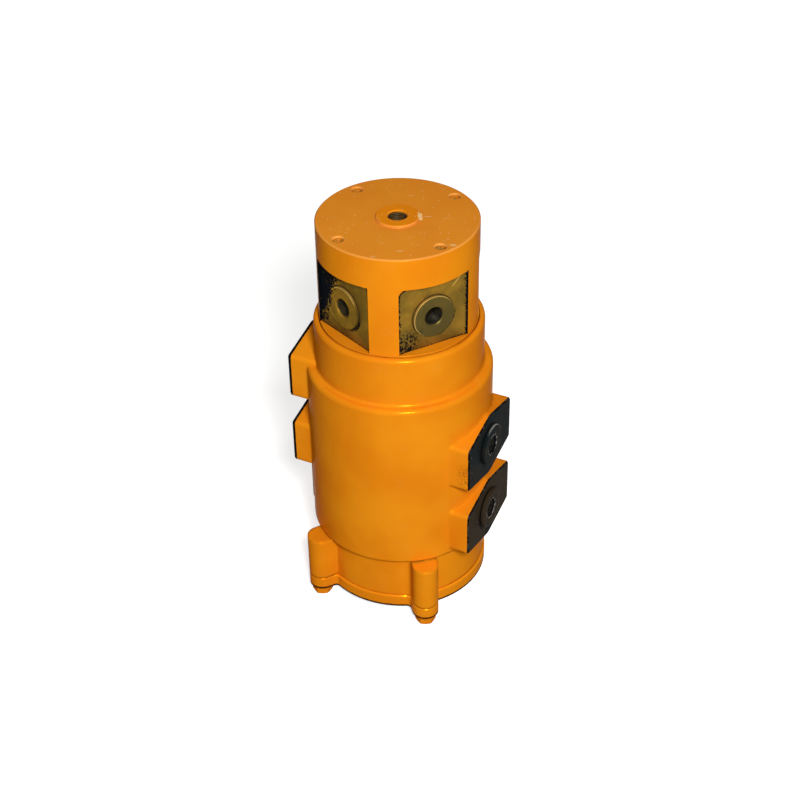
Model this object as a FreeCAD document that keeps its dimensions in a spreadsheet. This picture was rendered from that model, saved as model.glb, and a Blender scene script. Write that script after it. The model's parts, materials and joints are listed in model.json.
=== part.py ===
import FreeCAD, Part
import math
import os
import re
import Sketcher

# A rotary union (centre swivel joint) for five hydraulic lines.
# Millimetres, +Z up along the turning axis, -Y is the front.
# The origin lies on the axis, level with the undersides of the cover bolt heads.
# A bearing is an angle in degrees seen from above, 0 at the front, positive towards +X.

SIZES = (
    # Cover, its bolts and spring washers
    ("bolt_radius", 6),
    ("bolt_flats", 19),
    ("bolt_head_height", 7.5),
    ("bolt_bevel_inset", 0.475),
    ("bolt_bevel_angle", 30),
    ("bolt_length", 45),
    ("washer_radius", 10.5),
    ("washer_thickness", 2.5),
    ("washer_split", 2),
    ("washer_clearance", 0.2),
    ("cover_radius", 90),
    ("cover_thickness", 15.7),
    ("cover_edge_chamfer", 1.5),
    ("spigot_height", 5),
    ("spigot_clearance", 0.3),
    ("bolt_hole_clearance", 0.75),
    ("thread_clearance", 0.05),
    ("thread_run_out", 3),
    ("cover_ring_thickness", 3),
    # Lugs that the cover bolts pull up to
    ("lug_radius", 13.5),
    ("lug_circle", 100),
    ("lug_height", 51),
    ("lug_bearing", 13),
    ("lug_spread", 105),
    ("lug_edge_round", 5),
    # Outside of the housing
    ("flange_radius", 88),
    ("flange_height", 53.1),
    ("body_radius", 95),
    ("body_height", 193.7),
    ("collar_radius", 86),
    ("collar_height", 54),
    ("shoulder_round", 5),
    ("shoulder_blend", 3.5),
    ("collar_round", 4.5),
    # Port faces on the housing
    ("face_bearing", 63.5),
    ("face_distance", 101.5),
    ("face_half_width", 52.7),
    ("face_side_height", 50),
    ("face_peak_height", 74),
    ("face_peak_round", 16),
    ("face_corner_round", 4),
    ("face_chamfer", 1.5),
    ("first_port_height", 109.5),
    ("side_port_pitch", 84),
    ("left_port_rise", 59.5),
    ("drain_port_height", 78),
    ("drain_face_half_width", 18),
    ("drain_face_round", 10),
    # Threaded ports, all with a flat sealing ring round the mouth
    ("port_bore_radius", 9.3),
    ("port_mouth_radius", 10.6),
    ("port_depth", 18),
    ("port_ring_radius", 22),
    ("port_ring_height", 3),
    ("port_ring_chamfer", 0.8),
    ("drain_bore_radius", 7.5),
    ("drain_mouth_radius", 8.6),
    ("drain_depth", 14),
    ("drain_ring_radius", 14),
    ("drain_ring_height", 1.5),
    # Inside of the housing
    ("bore_clearance", 0.3),
    ("running_clearance", 0.05),
    ("seat_clearance", 0.05),
    ("cavity_radius", 72),
    ("bush_wall", 4),
    ("upper_bush_length", 20),
    ("lower_bush_length", 20),
    ("channel_width", 11),
    ("channel_depth", 8),
    ("drilling_radius", 5.5),
    ("seal_groove_width", 6.3),
    ("seal_groove_depth", 7.5),
    ("slide_ring_wall", 3.4),
    ("slide_ring_width", 5.9),
    ("energiser_chamfer", 1.2),
    ("end_seal_offset", 14.5),
    ("top_seal_offset", 27),
    # Thrust rings and dust seal
    ("upper_thrust_thickness", 6),
    ("upper_thrust_radius", 78),
    ("lower_thrust_thickness", 5),
    ("thrust_side_clearance", 0.5),
    ("oil_groove_width", 3),
    ("oil_groove_depth", 1.2),
    ("bush_chamfer", 0.8),
    ("dust_seal_width", 4),
    ("dust_seal_depth", 3.2),
    ("dust_seal_chamfer", 0.6),
    # Stem: its lowest rim turns inside the collar, with a ledge just above the collar
    ("spindle_radius", 55),
    ("spindle_chamfer", 1.5),
    ("head_radius", 80),
    ("rim_clearance", 0.4),
    ("rim_thickness", 14),
    ("ledge_rise", 1.5),
    ("head_height", 107),
    ("head_edge_chamfer", 1.2),
    ("flat_distance", 68.5),
    ("flat_half_width", 37.9),
    ("flat_height", 74),
    ("flat_corner_round", 6),
    ("flat_bearing", -50),
    ("flat_pitch", 78),
    ("head_port_height", 34),
    ("passage_circle", 36),
    ("passage_radius", 5.5),
    ("plug_radius", 8),
    ("plug_length", 9),
    ("plug_sink", 0.5),
    ("plug_socket_flats", 8),
    ("plug_socket_depth", 5),
    ("drain_passage_radius", 6),
    ("drain_drilling_bearing", 247),
    ("top_ring_radius", 21.5),
    ("top_ring_height", 2.5),
    ("top_hole_circle", 68.8),
    ("top_hole_radius", 5.1),
    ("top_hole_mouth_radius", 6.4),
    ("top_hole_depth", 24),
    ("top_hole_bearing", 35),
    # Retainer plate on the lower end of the stem
    ("plate_radius", 66),
    ("plate_thickness", 10),
    ("plate_hole_radius", 18),
    ("plate_gap", 3.3),
    ("plate_chamfer", 1),
    ("screw_radius", 5),
    ("screw_head_radius", 10),
    ("screw_head_height", 5.5),
    ("screw_length", 30),
    ("screw_circle", 44),
    ("screw_bearing", 67),
    ("screw_hole_clearance", 0.5),
    ("screw_socket_flats", 6),
    ("screw_socket_depth", 3.6),
)

LEVELS = (
    ("cover_bottom", "bolt_head_height + washer_thickness"),
    ("cover_top", "bolt_head_height + washer_thickness + cover_thickness"),
    ("lug_top", "bolt_head_height + washer_thickness + cover_thickness + lug_height"),
    ("step", "cover_top + flange_height"),
    ("shoulder", "step + body_height"),
    ("collar_top", "shoulder + collar_height"),
    ("ledge", "collar_top + ledge_rise"),
    ("head_bottom", "ledge - rim_thickness"),
    ("head_top", "ledge + head_height"),
    ("flat_top", "ledge + flat_height"),
    ("head_port", "ledge + head_port_height"),
    ("dust_seal", "head_bottom + rim_thickness / 2"),
    ("plate_bottom", "cover_top + spigot_height + plate_gap"),
    ("spindle_end", "plate_bottom + plate_thickness"),
    ("cavity_top", "spindle_end + lower_thrust_thickness"),
    ("lower_bush_top", "cavity_top + lower_bush_length"),
    ("upper_thrust_bottom", "head_bottom - upper_thrust_thickness"),
    ("upper_bush_bottom", "upper_thrust_bottom - upper_bush_length"),
    ("right_lower_port", "first_port_height"),
    ("right_upper_port", "first_port_height + side_port_pitch"),
    ("left_lower_port", "first_port_height + left_port_rise"),
    ("left_upper_port", "left_lower_port + side_port_pitch"),
    ("drain_port", "drain_port_height"),
    ("seal_1", "(drain_port + right_lower_port) / 2"),
    ("seal_2", "(right_lower_port + left_lower_port) / 2"),
    ("seal_3", "(left_lower_port + right_upper_port) / 2"),
    ("seal_4", "(right_upper_port + left_upper_port) / 2"),
    ("seal_5", "left_upper_port + end_seal_offset"),
    ("seal_6", "left_upper_port + top_seal_offset"),
    ("bore_radius", "spindle_radius + bore_clearance"),
    ("channel_radius", "bore_radius + channel_depth"),
    ("seal_groove_radius", "spindle_radius + seal_groove_depth"),
    ("running_radius", "spindle_radius + running_clearance"),
    ("bush_radius", "running_radius + bush_wall"),
    ("bush_seat_radius", "bush_radius + seat_clearance"),
    ("rim_seat_radius", "head_radius + rim_clearance"),
    ("dust_groove_radius", "head_radius - dust_seal_depth"),
    ("left_face_bearing", "face_bearing + 180"),
)

# Channels and seals in the bore, from the bottom up
CHANNELS = ("drain_port", "right_lower_port", "left_lower_port", "right_upper_port", "left_upper_port")
SEALS = ("seal_1", "seal_2", "seal_3", "seal_4", "seal_5", "seal_6")

# Each passage of the stem, in the order of its flats, and the channel that it feeds
PASSAGE_CHANNELS = ("right_lower_port", "left_lower_port", "right_upper_port", "left_upper_port")

# Port faces: name, bearing and height
PORT_FACES = (
    ("right_lower", "face_bearing", "right_lower_port"),
    ("right_upper", "face_bearing", "right_upper_port"),
    ("left_lower", "left_face_bearing", "left_lower_port"),
    ("left_upper", "left_face_bearing", "left_upper_port"),
)

LUG_BEARINGS = (
    "lug_bearing",
    "lug_bearing + lug_spread",
    "lug_bearing + 180",
    "lug_bearing + lug_spread + 180",
)

TOLERANCE = 0.01

doc = FreeCAD.newDocument("rotary_union")
sizes = doc.addObject("Spreadsheet::Sheet", "Sizes")
for row, (alias, size) in enumerate(SIZES, 1):
    sizes.set(f"A{row}", alias)
    sizes.set(f"B{row}", str(size))
    sizes.setAlias(f"B{row}", alias)
doc.recompute()

SIZE_NAMES = {alias for alias, size in SIZES}
LEVEL_NAMES = {alias for alias, formula in LEVELS}


def bound(expression):
    """Put its sheet's name before each named value in an expression."""

    def with_sheet(word):
        if word.group(0) in SIZE_NAMES:
            return "Sizes." + word.group(0)
        if word.group(0) in LEVEL_NAMES:
            return "Levels." + word.group(0)
        return word.group(0)

    return re.sub(r"[a-z_][a-z0-9_]*", with_sheet, expression)


levels = doc.addObject("Spreadsheet::Sheet", "Levels")
for row, (alias, formula) in enumerate(LEVELS, 1):
    levels.setAlias(f"B{row}", alias)
for row, (alias, formula) in enumerate(LEVELS, 1):
    levels.set(f"A{row}", alias)
    levels.set(f"B{row}", "=" + bound(formula).replace("Levels.", ""))
doc.recompute()


def number(expression):
    """The present value of an expression, in millimetres or degrees."""
    return float(sizes.evalExpression(bound(expression)))


def new_body(name):
    body = doc.addObject("PartDesign::Body", name)
    body.Label = name
    return body


def origin_feature(body, role):
    return next(feature for feature in body.Origin.OriginFeatures if feature.Role == role)


def sketch_on(body, name, plane, turn="0", across="0", up="0", out="0"):
    """A sketch on an origin plane, turned about the plane's upright axis and moved in its own axes."""
    sketch = body.newObject("Sketcher::SketchObject", name)
    sketch.AttachmentSupport = [(origin_feature(body, plane), "")]
    sketch.MapMode = "FlatFace"
    upright = FreeCAD.Vector(0, 1, 0) if plane == "XZ_Plane" else FreeCAD.Vector(0, 0, 1)
    sketch.AttachmentOffset = FreeCAD.Placement(FreeCAD.Vector(), FreeCAD.Rotation(upright, number(turn)))
    sketch.setExpression(".AttachmentOffset.Rotation.Angle", bound(turn))
    sketch.setExpression(".AttachmentOffset.Base.x", bound(across))
    sketch.setExpression(".AttachmentOffset.Base.y", bound(up))
    sketch.setExpression(".AttachmentOffset.Base.z", bound(out))
    return sketch


def facing_sketch(body, name, bearing, distance, height="0"):
    """An upright sketch that faces outwards at a bearing, at a distance from the axis."""
    across = f"({distance}) * sin({bearing})"
    out = f"({distance}) * cos({bearing})"
    return sketch_on(body, name, "XZ_Plane", bearing, across, height, out)


def radial_sketch(body, name, bearing, height="0", distance="0"):
    """An upright sketch whose own X axis points outwards at a bearing."""
    across = f"({distance}) * sin({bearing})"
    out = f"({distance}) * cos({bearing})"
    return sketch_on(body, name, "XZ_Plane", f"{bearing} - 90", across, height, out)


def level_sketch(body, name, bearing, height):
    """A level sketch whose own X axis points outwards at a bearing."""
    return sketch_on(body, name, "XY_Plane", f"{bearing} - 90", "0", "0", height)


def pin(sketch, geometry, point, across, up):
    """Fix a point of a sketch at two expressions."""
    for kind, expression in (("DistanceX", across), ("DistanceY", up)):
        constraint = Sketcher.Constraint(kind, -1, 1, geometry, point, number(expression))
        index = sketch.addConstraint(constraint)
        sketch.setExpression(f"Constraints[{index}]", bound(expression))


def set_radius(sketch, geometry, radius):
    index = sketch.addConstraint(Sketcher.Constraint("Radius", geometry, number(radius)))
    sketch.setExpression(f"Constraints[{index}]", bound(radius))


def circle(sketch, radius, across="0", up="0"):
    centre = FreeCAD.Vector(number(across), number(up), 0)
    index = sketch.addGeometry(Part.Circle(centre, FreeCAD.Vector(0, 0, 1), number(radius)), False)
    pin(sketch, index, 3, across, up)
    set_radius(sketch, index, radius)


def corner_arc(before, corner, after, radius):
    """The arc that rounds a corner, its two ends, and whether it turns left."""
    arriving = (corner - before).normalize()
    leaving = (after - corner).normalize()
    turn = math.acos(max(-1.0, min(1.0, arriving.dot(leaving))))
    reach = radius * math.tan(turn / 2)
    first = corner - arriving * reach
    last = corner + leaving * reach
    left = arriving.cross(leaving).z > 0
    side = FreeCAD.Vector(-arriving.y, arriving.x, 0) * (1 if left else -1)
    centre = first + side * radius
    start, end = (first, last) if left else (last, first)
    begin = math.atan2(start.y - centre.y, start.x - centre.x)
    finish = math.atan2(end.y - centre.y, end.x - centre.x)
    rim = Part.Circle(centre, FreeCAD.Vector(0, 0, 1), radius)
    return Part.ArcOfCircle(rim, begin, finish), first, last, left


def outline(sketch, corners):
    """A closed outline. A corner is two expressions, and a third one if it is rounded."""
    count = len(corners)
    places = [FreeCAD.Vector(number(corner[0]), number(corner[1]), 0) for corner in corners]
    arrivals = list(places)
    departures = list(places)
    arcs = {}
    for index, corner in enumerate(corners):
        if len(corner) == 3:
            arc, first, last, left = corner_arc(
                places[index - 1], places[index], places[(index + 1) % count], number(corner[2])
            )
            arcs[index] = (arc, left)
            arrivals[index] = first
            departures[index] = last
    lines = []
    for index in range(count):
        line = Part.LineSegment(departures[index], arrivals[(index + 1) % count])
        lines.append(sketch.addGeometry(line, False))
    for index, corner in enumerate(corners):
        before = lines[index - 1]
        after = lines[index]
        if index not in arcs:
            sketch.addConstraint(Sketcher.Constraint("Coincident", before, 2, after, 1))
            pin(sketch, after, 1, corner[0], corner[1])
            continue
        arc, left = arcs[index]
        bend = sketch.addGeometry(arc, False)
        tip = sketch.addGeometry(Part.Point(places[index]), True)
        first, last = (1, 2) if left else (2, 1)
        sketch.addConstraint(Sketcher.Constraint("Tangent", before, 2, bend, first))
        sketch.addConstraint(Sketcher.Constraint("Tangent", bend, last, after, 1))
        sketch.addConstraint(Sketcher.Constraint("PointOnObject", tip, 1, before))
        sketch.addConstraint(Sketcher.Constraint("PointOnObject", tip, 1, after))
        pin(sketch, tip, 1, corner[0], corner[1])
        set_radius(sketch, bend, corner[2])


def hexagon(sketch, flats, turn=0):
    """A hexagon round the sketch's origin, by its width across flats."""
    corners = []
    for step in range(6):
        angle = turn + 60 * step
        corners.append((f"{flats} / cos(30) / 2 * cos({angle})", f"{flats} / cos(30) / 2 * sin({angle})"))
    outline(sketch, corners)


def tongue(sketch, inner, outer, half_width):
    """A strip along the sketch's X axis that ends in a half circle round its outer point."""
    half = number(half_width)
    centre = FreeCAD.Vector(number(outer), 0, 0)
    root = number(inner)
    rim = Part.Circle(centre, FreeCAD.Vector(0, 0, 1), half)
    nose = sketch.addGeometry(Part.ArcOfCircle(rim, -math.pi / 2, math.pi / 2), False)
    left_top = FreeCAD.Vector(root, half, 0)
    left_bottom = FreeCAD.Vector(root, -half, 0)
    top = sketch.addGeometry(Part.LineSegment(FreeCAD.Vector(centre.x, half, 0), left_top), False)
    back = sketch.addGeometry(Part.LineSegment(left_top, left_bottom), False)
    bottom = sketch.addGeometry(Part.LineSegment(left_bottom, FreeCAD.Vector(centre.x, -half, 0)), False)
    sketch.addConstraint(Sketcher.Constraint("Tangent", nose, 2, top, 1))
    sketch.addConstraint(Sketcher.Constraint("Tangent", bottom, 2, nose, 1))
    sketch.addConstraint(Sketcher.Constraint("Coincident", top, 2, back, 1))
    sketch.addConstraint(Sketcher.Constraint("Coincident", back, 2, bottom, 1))
    sketch.addConstraint(Sketcher.Constraint("Horizontal", top))
    sketch.addConstraint(Sketcher.Constraint("Horizontal", bottom))
    sketch.addConstraint(Sketcher.Constraint("Vertical", back))
    pin(sketch, nose, 3, outer, "0")
    set_radius(sketch, nose, half_width)
    index = sketch.addConstraint(Sketcher.Constraint("DistanceX", -1, 1, back, 1, root))
    sketch.setExpression(f"Constraints[{index}]", bound(inner))


def finish_feature(body, feature):
    """Make a feature the body's last one, compute it and make sure that it worked."""
    feature.Refine = True
    body.Tip = feature
    doc.recompute()
    if "Invalid" in feature.State:
        raise ValueError(feature.Name + ": " + feature.getStatusString())
    return feature


def revolve(body, name, corners, axis="V_Axis", cut=False, sketch=None):
    """Turn an outline about an axis of its sketch, to add or to cut material."""
    if sketch is None:
        sketch = sketch_on(body, name + "_profile", "XZ_Plane")
    outline(sketch, corners)
    before = body.Shape.Volume if cut else 0
    feature = body.newObject("PartDesign::Groove" if cut else "PartDesign::Revolution", name)
    feature.Profile = sketch
    feature.ReferenceAxis = (sketch, [axis])
    feature.Angle = 360
    finish_feature(body, feature)
    if cut and not body.Shape.Volume < before - TOLERANCE:
        raise ValueError(name + " cuts nothing")
    return feature


def pad(body, name, sketch, length):
    feature = body.newObject("PartDesign::Pad", name)
    feature.Profile = sketch
    feature.setExpression("Length", bound(length))
    return finish_feature(body, feature)


def pocket(body, name, sketch, length, towards_normal=False):
    """Cut a sketch into the body, and make sure that something was cut."""
    before = body.Shape.Volume
    feature = body.newObject("PartDesign::Pocket", name)
    feature.Profile = sketch
    feature.Reversed = towards_normal
    feature.setExpression("Length", bound(length))
    finish_feature(body, feature)
    if not body.Shape.Volume < before - TOLERANCE:
        raise ValueError(name + " cuts nothing")
    return feature


def polar_pattern(body, name, originals, count, extent="360"):
    feature = body.newObject("PartDesign::PolarPattern", name)
    feature.Originals = originals
    feature.Axis = (origin_feature(body, "Z_Axis"), [""])
    feature.setExpression("Angle", bound(extent))
    feature.Occurrences = count
    return finish_feature(body, feature)


def edge_names(body, wanted):
    return [f"Edge{index}" for index, edge in enumerate(body.Shape.Edges, 1) if wanted(edge)]


def dress(body, name, kind, size, wanted):
    """Round or chamfer the edges that a test picks."""
    names = edge_names(body, wanted)
    if not names:
        raise ValueError(name + " finds no edge")
    base = body.Tip
    feature = body.newObject("PartDesign::" + kind, name)
    feature.Base = (base, names)
    feature.setExpression("Radius" if kind == "Fillet" else "Size", bound(size))
    return finish_feature(body, feature)


def ring_at(radius, height):
    """A test for whole circles round the axis at a radius and a height."""
    wanted_radius = number(radius)
    wanted_height = number(height)

    def wanted(edge):
        if not isinstance(edge.Curve, Part.Circle) or len(edge.Vertexes) > 1:
            return False
        if math.hypot(edge.Curve.Center.x, edge.Curve.Center.y) > TOLERANCE:
            return False
        level = abs(edge.Curve.Center.z - wanted_height) < TOLERANCE
        return level and abs(edge.Curve.Radius - wanted_radius) < TOLERANCE

    return wanted


def edge_points(edge):
    return [edge.valueAt(edge.FirstParameter + (edge.LastParameter - edge.FirstParameter) * part / 4)
            for part in range(5)]


def direction(bearing):
    angle = math.radians(number(bearing))
    return FreeCAD.Vector(math.sin(angle), -math.cos(angle), 0)


def in_plane(bearing, distance):
    """A test for edges in the upright plane at a distance from the axis."""
    normal = direction(bearing)
    reach = number(distance)
    return lambda edge: all(abs(point.dot(normal) - reach) < TOLERANCE for point in edge_points(edge))


def port_profile(face, bore, mouth, depth, drilling, inner):
    """Half section of a port along its own axis, from its mouth inwards to the passage."""
    return (
        (inner, "0"),
        (face, "0"),
        (face, mouth),
        (f"{face} - ({mouth} - {bore})", bore),
        (f"{face} - {depth}", bore),
        (f"{face} - {depth}", drilling),
        (inner, drilling),
    )


def raised_ring(body, name, bearing, distance, height, radius, rise):
    """A turned sealing ring that stands proud of a flat face."""
    sketch = facing_sketch(body, name + "_outline", bearing, distance, height)
    circle(sketch, radius)
    return pad(body, name, sketch, rise)


def copies(name, body, places):
    """A group of equal pieces. A place is the expressions of its three coordinates."""
    links = []
    for index, place in enumerate(places, 1):
        link = doc.addObject("App::Link", f"{name}_{index}")
        link.LinkedObject = body
        for axis, expression in zip("xyz", place):
            link.setExpression(f".Placement.Base.{axis}", bound(expression))
        links.append(link)
    group = doc.addObject("Part::Compound", name)
    group.Label = name
    group.Links = links
    doc.recompute()
    return group


def on_circle(radius, bearings):
    """Places on a circle round the axis, at the height that the piece was drawn at."""
    return [(f"{radius} * sin({bearing})", f"-{radius} * cos({bearing})", "0") for bearing in bearings]


def ring_body(name, inner, outer, bottom, top, chamfer=None):
    """A plain turned ring, with its outer edges chamfered if a chamfer is given."""
    body = new_body(name)
    if chamfer is None:
        corners = ((inner, bottom), (outer, bottom), (outer, top), (inner, top))
    else:
        corners = (
            (inner, bottom),
            (f"{outer} - {chamfer}", bottom),
            (outer, f"{bottom} + {chamfer}"),
            (outer, f"{top} - {chamfer}"),
            (f"{outer} - {chamfer}", top),
            (inner, top),
        )
    revolve(body, name + "_turning", corners)
    return body


# Housing: a cast body with a collar, four port faces, a drain boss and four lugs

def bore_corners():
    """Half section of everything inside the housing, from the cover joint up to the collar."""
    corners = [
        ("0", "cover_top"),
        ("cavity_radius", "cover_top"),
        ("cavity_radius", "cavity_top"),
        ("bush_seat_radius", "cavity_top"),
        ("bush_seat_radius", "lower_bush_top"),
        ("bore_radius", "lower_bush_top"),
    ]
    grooves = [(level, "channel_width", "channel_radius") for level in CHANNELS]
    grooves += [(level, "seal_groove_width", "seal_groove_radius") for level in SEALS]
    for level, width, radius in sorted(grooves, key=lambda groove: number(groove[0])):
        corners.append(("bore_radius", f"{level} - {width} / 2"))
        corners.append((radius, f"{level} - {width} / 2"))
        corners.append((radius, f"{level} + {width} / 2"))
        corners.append(("bore_radius", f"{level} + {width} / 2"))
    corners += [
        ("bore_radius", "upper_bush_bottom"),
        ("bush_seat_radius", "upper_bush_bottom"),
        ("bush_seat_radius", "upper_thrust_bottom"),
        ("rim_seat_radius", "upper_thrust_bottom"),
        ("rim_seat_radius", "collar_top"),
        ("0", "collar_top"),
    ]
    return corners


def port_face(body, name, bearing, height, rib_drop=None):
    """A cast boss with a milled six-sided face, wider at its middle than at its sides.

    With a rib drop, a rib for the drain port runs down from it to that far below its middle.
    """
    sketch = facing_sketch(body, name + "_outline", bearing, "0", height)
    side = "face_side_height / 2"
    peak = "face_peak_height / 2"
    lower = [("0", f"-{peak}", "face_peak_round")]
    if rib_drop is not None:
        root = f"({peak} - ({peak} - {side}) * drain_face_half_width / face_half_width)"
        lower = [
            ("-drain_face_half_width", f"-{root}"),
            ("-drain_face_half_width", f"-({rib_drop})", "drain_face_round"),
            ("drain_face_half_width", f"-({rib_drop})", "drain_face_round"),
            ("drain_face_half_width", f"-{root}"),
        ]
    outline(sketch, [("-face_half_width", f"-{side}", "face_corner_round")] + lower + [
        ("face_half_width", f"-{side}", "face_corner_round"),
        ("face_half_width", side, "face_corner_round"),
        ("0", peak, "face_peak_round"),
        ("-face_half_width", side, "face_corner_round"),
    ])
    pad(body, name, sketch, "face_distance")


housing = new_body("housing")
revolve(housing, "casting", (
    ("0", "cover_top"),
    ("flange_radius", "cover_top"),
    ("flange_radius", "step"),
    ("body_radius", "step"),
    ("body_radius", "shoulder"),
    ("collar_radius", "shoulder"),
    ("collar_radius", "collar_top"),
    ("0", "collar_top"),
))
dress(housing, "shoulder_edge", "Fillet", "shoulder_round", ring_at("body_radius", "shoulder"))
dress(housing, "shoulder_corner", "Fillet", "shoulder_blend", ring_at("collar_radius", "shoulder"))
dress(housing, "collar_edge", "Fillet", "collar_round", ring_at("collar_radius", "collar_top"))

for face_name, bearing, height in PORT_FACES:
    drop = "left_lower_port - drain_port + drain_face_half_width" if face_name == "left_lower" else None
    port_face(housing, face_name + "_face", bearing, height, drop)

for side_bearing in ("face_bearing", "left_face_bearing"):
    dress(housing, side_bearing + "_edge", "Chamfer", "face_chamfer", in_plane(side_bearing, "face_distance"))

for index, bearing in enumerate(LUG_BEARINGS, 1):
    lug_outline = level_sketch(housing, f"lug_{index}_outline", bearing, "cover_top")
    tongue(lug_outline, "cavity_radius", "lug_circle", "lug_radius")
    pad(housing, f"lug_{index}", lug_outline, "lug_height")

revolve(housing, "bore", bore_corners(), cut=True)

for face_name, bearing, height in PORT_FACES:
    raised_ring(housing, face_name + "_ring", bearing, "face_distance", height, "port_ring_radius",
                "port_ring_height")
raised_ring(housing, "drain_ring", "left_face_bearing", "face_distance", "drain_port", "drain_ring_radius",
            "drain_ring_height")
for side_bearing in ("face_bearing", "left_face_bearing"):
    dress(housing, side_bearing + "_ring_edge", "Chamfer", "port_ring_chamfer",
          in_plane(side_bearing, "face_distance + port_ring_height"))
for face_name, bearing, height in PORT_FACES:
    revolve(housing, face_name + "_port", port_profile(
        "(face_distance + port_ring_height)", "port_bore_radius", "port_mouth_radius", "port_depth",
        "drilling_radius", "(bore_radius + channel_depth / 2)",
    ), "H_Axis", True, radial_sketch(housing, face_name + "_port_profile", bearing, height))
revolve(housing, "drain_port", port_profile(
    "(face_distance + drain_ring_height)", "drain_bore_radius", "drain_mouth_radius", "drain_depth",
    "drilling_radius", "(bore_radius + channel_depth / 2)",
), "H_Axis", True, radial_sketch(housing, "drain_port_profile", "left_face_bearing", "drain_port"))

for index, bearing in enumerate(LUG_BEARINGS, 1):
    revolve(housing, f"lug_{index}_thread", (
        ("0", "cover_top"),
        ("bolt_radius + thread_clearance", "cover_top"),
        ("bolt_radius + thread_clearance", "bolt_head_height + bolt_length + thread_run_out"),
        ("0", "bolt_head_height + bolt_length + thread_run_out + bolt_radius / 2"),
    ), "V_Axis", True, radial_sketch(housing, f"lug_{index}_thread_profile", bearing, "0", "lug_circle"))


# Stem: a spindle with a wide head, four milled flats and the oil passages

stem = new_body("stem")
revolve(stem, "stem_turning", (
    ("0", "spindle_end"),
    ("spindle_radius - spindle_chamfer", "spindle_end"),
    ("spindle_radius", "spindle_end + spindle_chamfer"),
    ("spindle_radius", "head_bottom"),
    ("head_radius - head_edge_chamfer", "head_bottom"),
    ("head_radius", "head_bottom + head_edge_chamfer"),
    ("head_radius", "dust_seal - dust_seal_width / 2"),
    ("dust_groove_radius", "dust_seal - dust_seal_width / 2"),
    ("dust_groove_radius", "dust_seal + dust_seal_width / 2"),
    ("head_radius", "dust_seal + dust_seal_width / 2"),
    ("head_radius", "head_top - head_edge_chamfer"),
    ("head_radius - head_edge_chamfer", "head_top"),
    ("top_ring_radius", "head_top"),
    ("top_ring_radius", "head_top + top_ring_height - port_ring_chamfer"),
    ("top_ring_radius - port_ring_chamfer", "head_top + top_ring_height"),
    ("0", "head_top + top_ring_height"),
))

flat_sketch = facing_sketch(stem, "flat_outline", "flat_bearing", "flat_distance")
outline(flat_sketch, (
    ("-flat_half_width", "ledge"),
    ("flat_half_width", "ledge"),
    ("flat_half_width", "flat_top", "flat_corner_round"),
    ("-flat_half_width", "flat_top", "flat_corner_round"),
))
flat = pocket(stem, "flat", flat_sketch, "head_radius", towards_normal=True)
flat_ring = raised_ring(stem, "flat_ring", "flat_bearing", "flat_distance", "head_port", "port_ring_radius",
                        "port_ring_height")
flat_port = revolve(stem, "flat_port", port_profile(
    "(flat_distance + port_ring_height)", "port_bore_radius", "port_mouth_radius", "port_depth",
    "drilling_radius", "passage_circle",
), "H_Axis", True, radial_sketch(stem, "flat_port_profile", "flat_bearing", "head_port"))
passage = revolve(stem, "passage", (
    ("0", "spindle_end"),
    ("plug_radius + seat_clearance", "spindle_end"),
    ("plug_radius + seat_clearance", "spindle_end + plug_sink + plug_length"),
    ("passage_radius", "spindle_end + plug_sink + plug_length"),
    ("passage_radius", "head_port + drilling_radius"),
    ("0", "head_port + drilling_radius + passage_radius / 2"),
), "V_Axis", True, radial_sketch(stem, "passage_profile", "flat_bearing", "0", "passage_circle"))
polar_pattern(stem, "flats", [flat, flat_ring, flat_port, passage], len(PASSAGE_CHANNELS),
              f"flat_pitch * {len(PASSAGE_CHANNELS) - 1}")

for index, level in enumerate(PASSAGE_CHANNELS):
    revolve(stem, f"cross_drilling_{index + 1}", (
        ("passage_circle", "0"),
        ("spindle_radius", "0"),
        ("spindle_radius", "drilling_radius"),
        ("passage_circle", "drilling_radius"),
    ), "H_Axis", True,
        radial_sketch(stem, f"cross_drilling_{index + 1}_profile", f"flat_bearing + flat_pitch * {index}", level))

revolve(stem, "drain_passage", (
    ("0", "drain_port - drilling_radius"),
    ("drain_passage_radius", "drain_port - drilling_radius"),
    ("drain_passage_radius", "head_top + top_ring_height - port_depth"),
    ("port_bore_radius", "head_top + top_ring_height - port_depth"),
    ("port_bore_radius", "head_top + top_ring_height - (port_mouth_radius - port_bore_radius)"),
    ("port_mouth_radius", "head_top + top_ring_height"),
    ("0", "head_top + top_ring_height"),
), cut=True)
revolve(stem, "drain_drilling", (
    ("0", "0"),
    ("spindle_radius", "0"),
    ("spindle_radius", "drilling_radius"),
    ("0", "drilling_radius"),
), "H_Axis", True, radial_sketch(stem, "drain_drilling_profile", "drain_drilling_bearing", "drain_port"))

top_hole = revolve(stem, "top_hole", (
    ("0", "head_top - top_hole_depth - top_hole_radius / 2"),
    ("top_hole_radius", "head_top - top_hole_depth"),
    ("top_hole_radius", "head_top - (top_hole_mouth_radius - top_hole_radius)"),
    ("top_hole_mouth_radius", "head_top"),
    ("0", "head_top"),
), "V_Axis", True, radial_sketch(stem, "top_hole_profile", "top_hole_bearing", "0", "top_hole_circle"))
polar_pattern(stem, "top_holes", [top_hole], 4)

screw_hole = revolve(stem, "screw_hole", (
    ("0", "spindle_end"),
    ("screw_radius + thread_clearance", "spindle_end"),
    ("screw_radius + thread_clearance", "plate_bottom + screw_length + thread_run_out"),
    ("0", "plate_bottom + screw_length + thread_run_out + screw_radius / 2"),
), "V_Axis", True, radial_sketch(stem, "screw_hole_profile", "screw_bearing", "0", "screw_circle"))
polar_pattern(stem, "screw_holes", [screw_hole], 4)


# Bottom cover with its spigot, the ring groove round it and four ears

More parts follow.
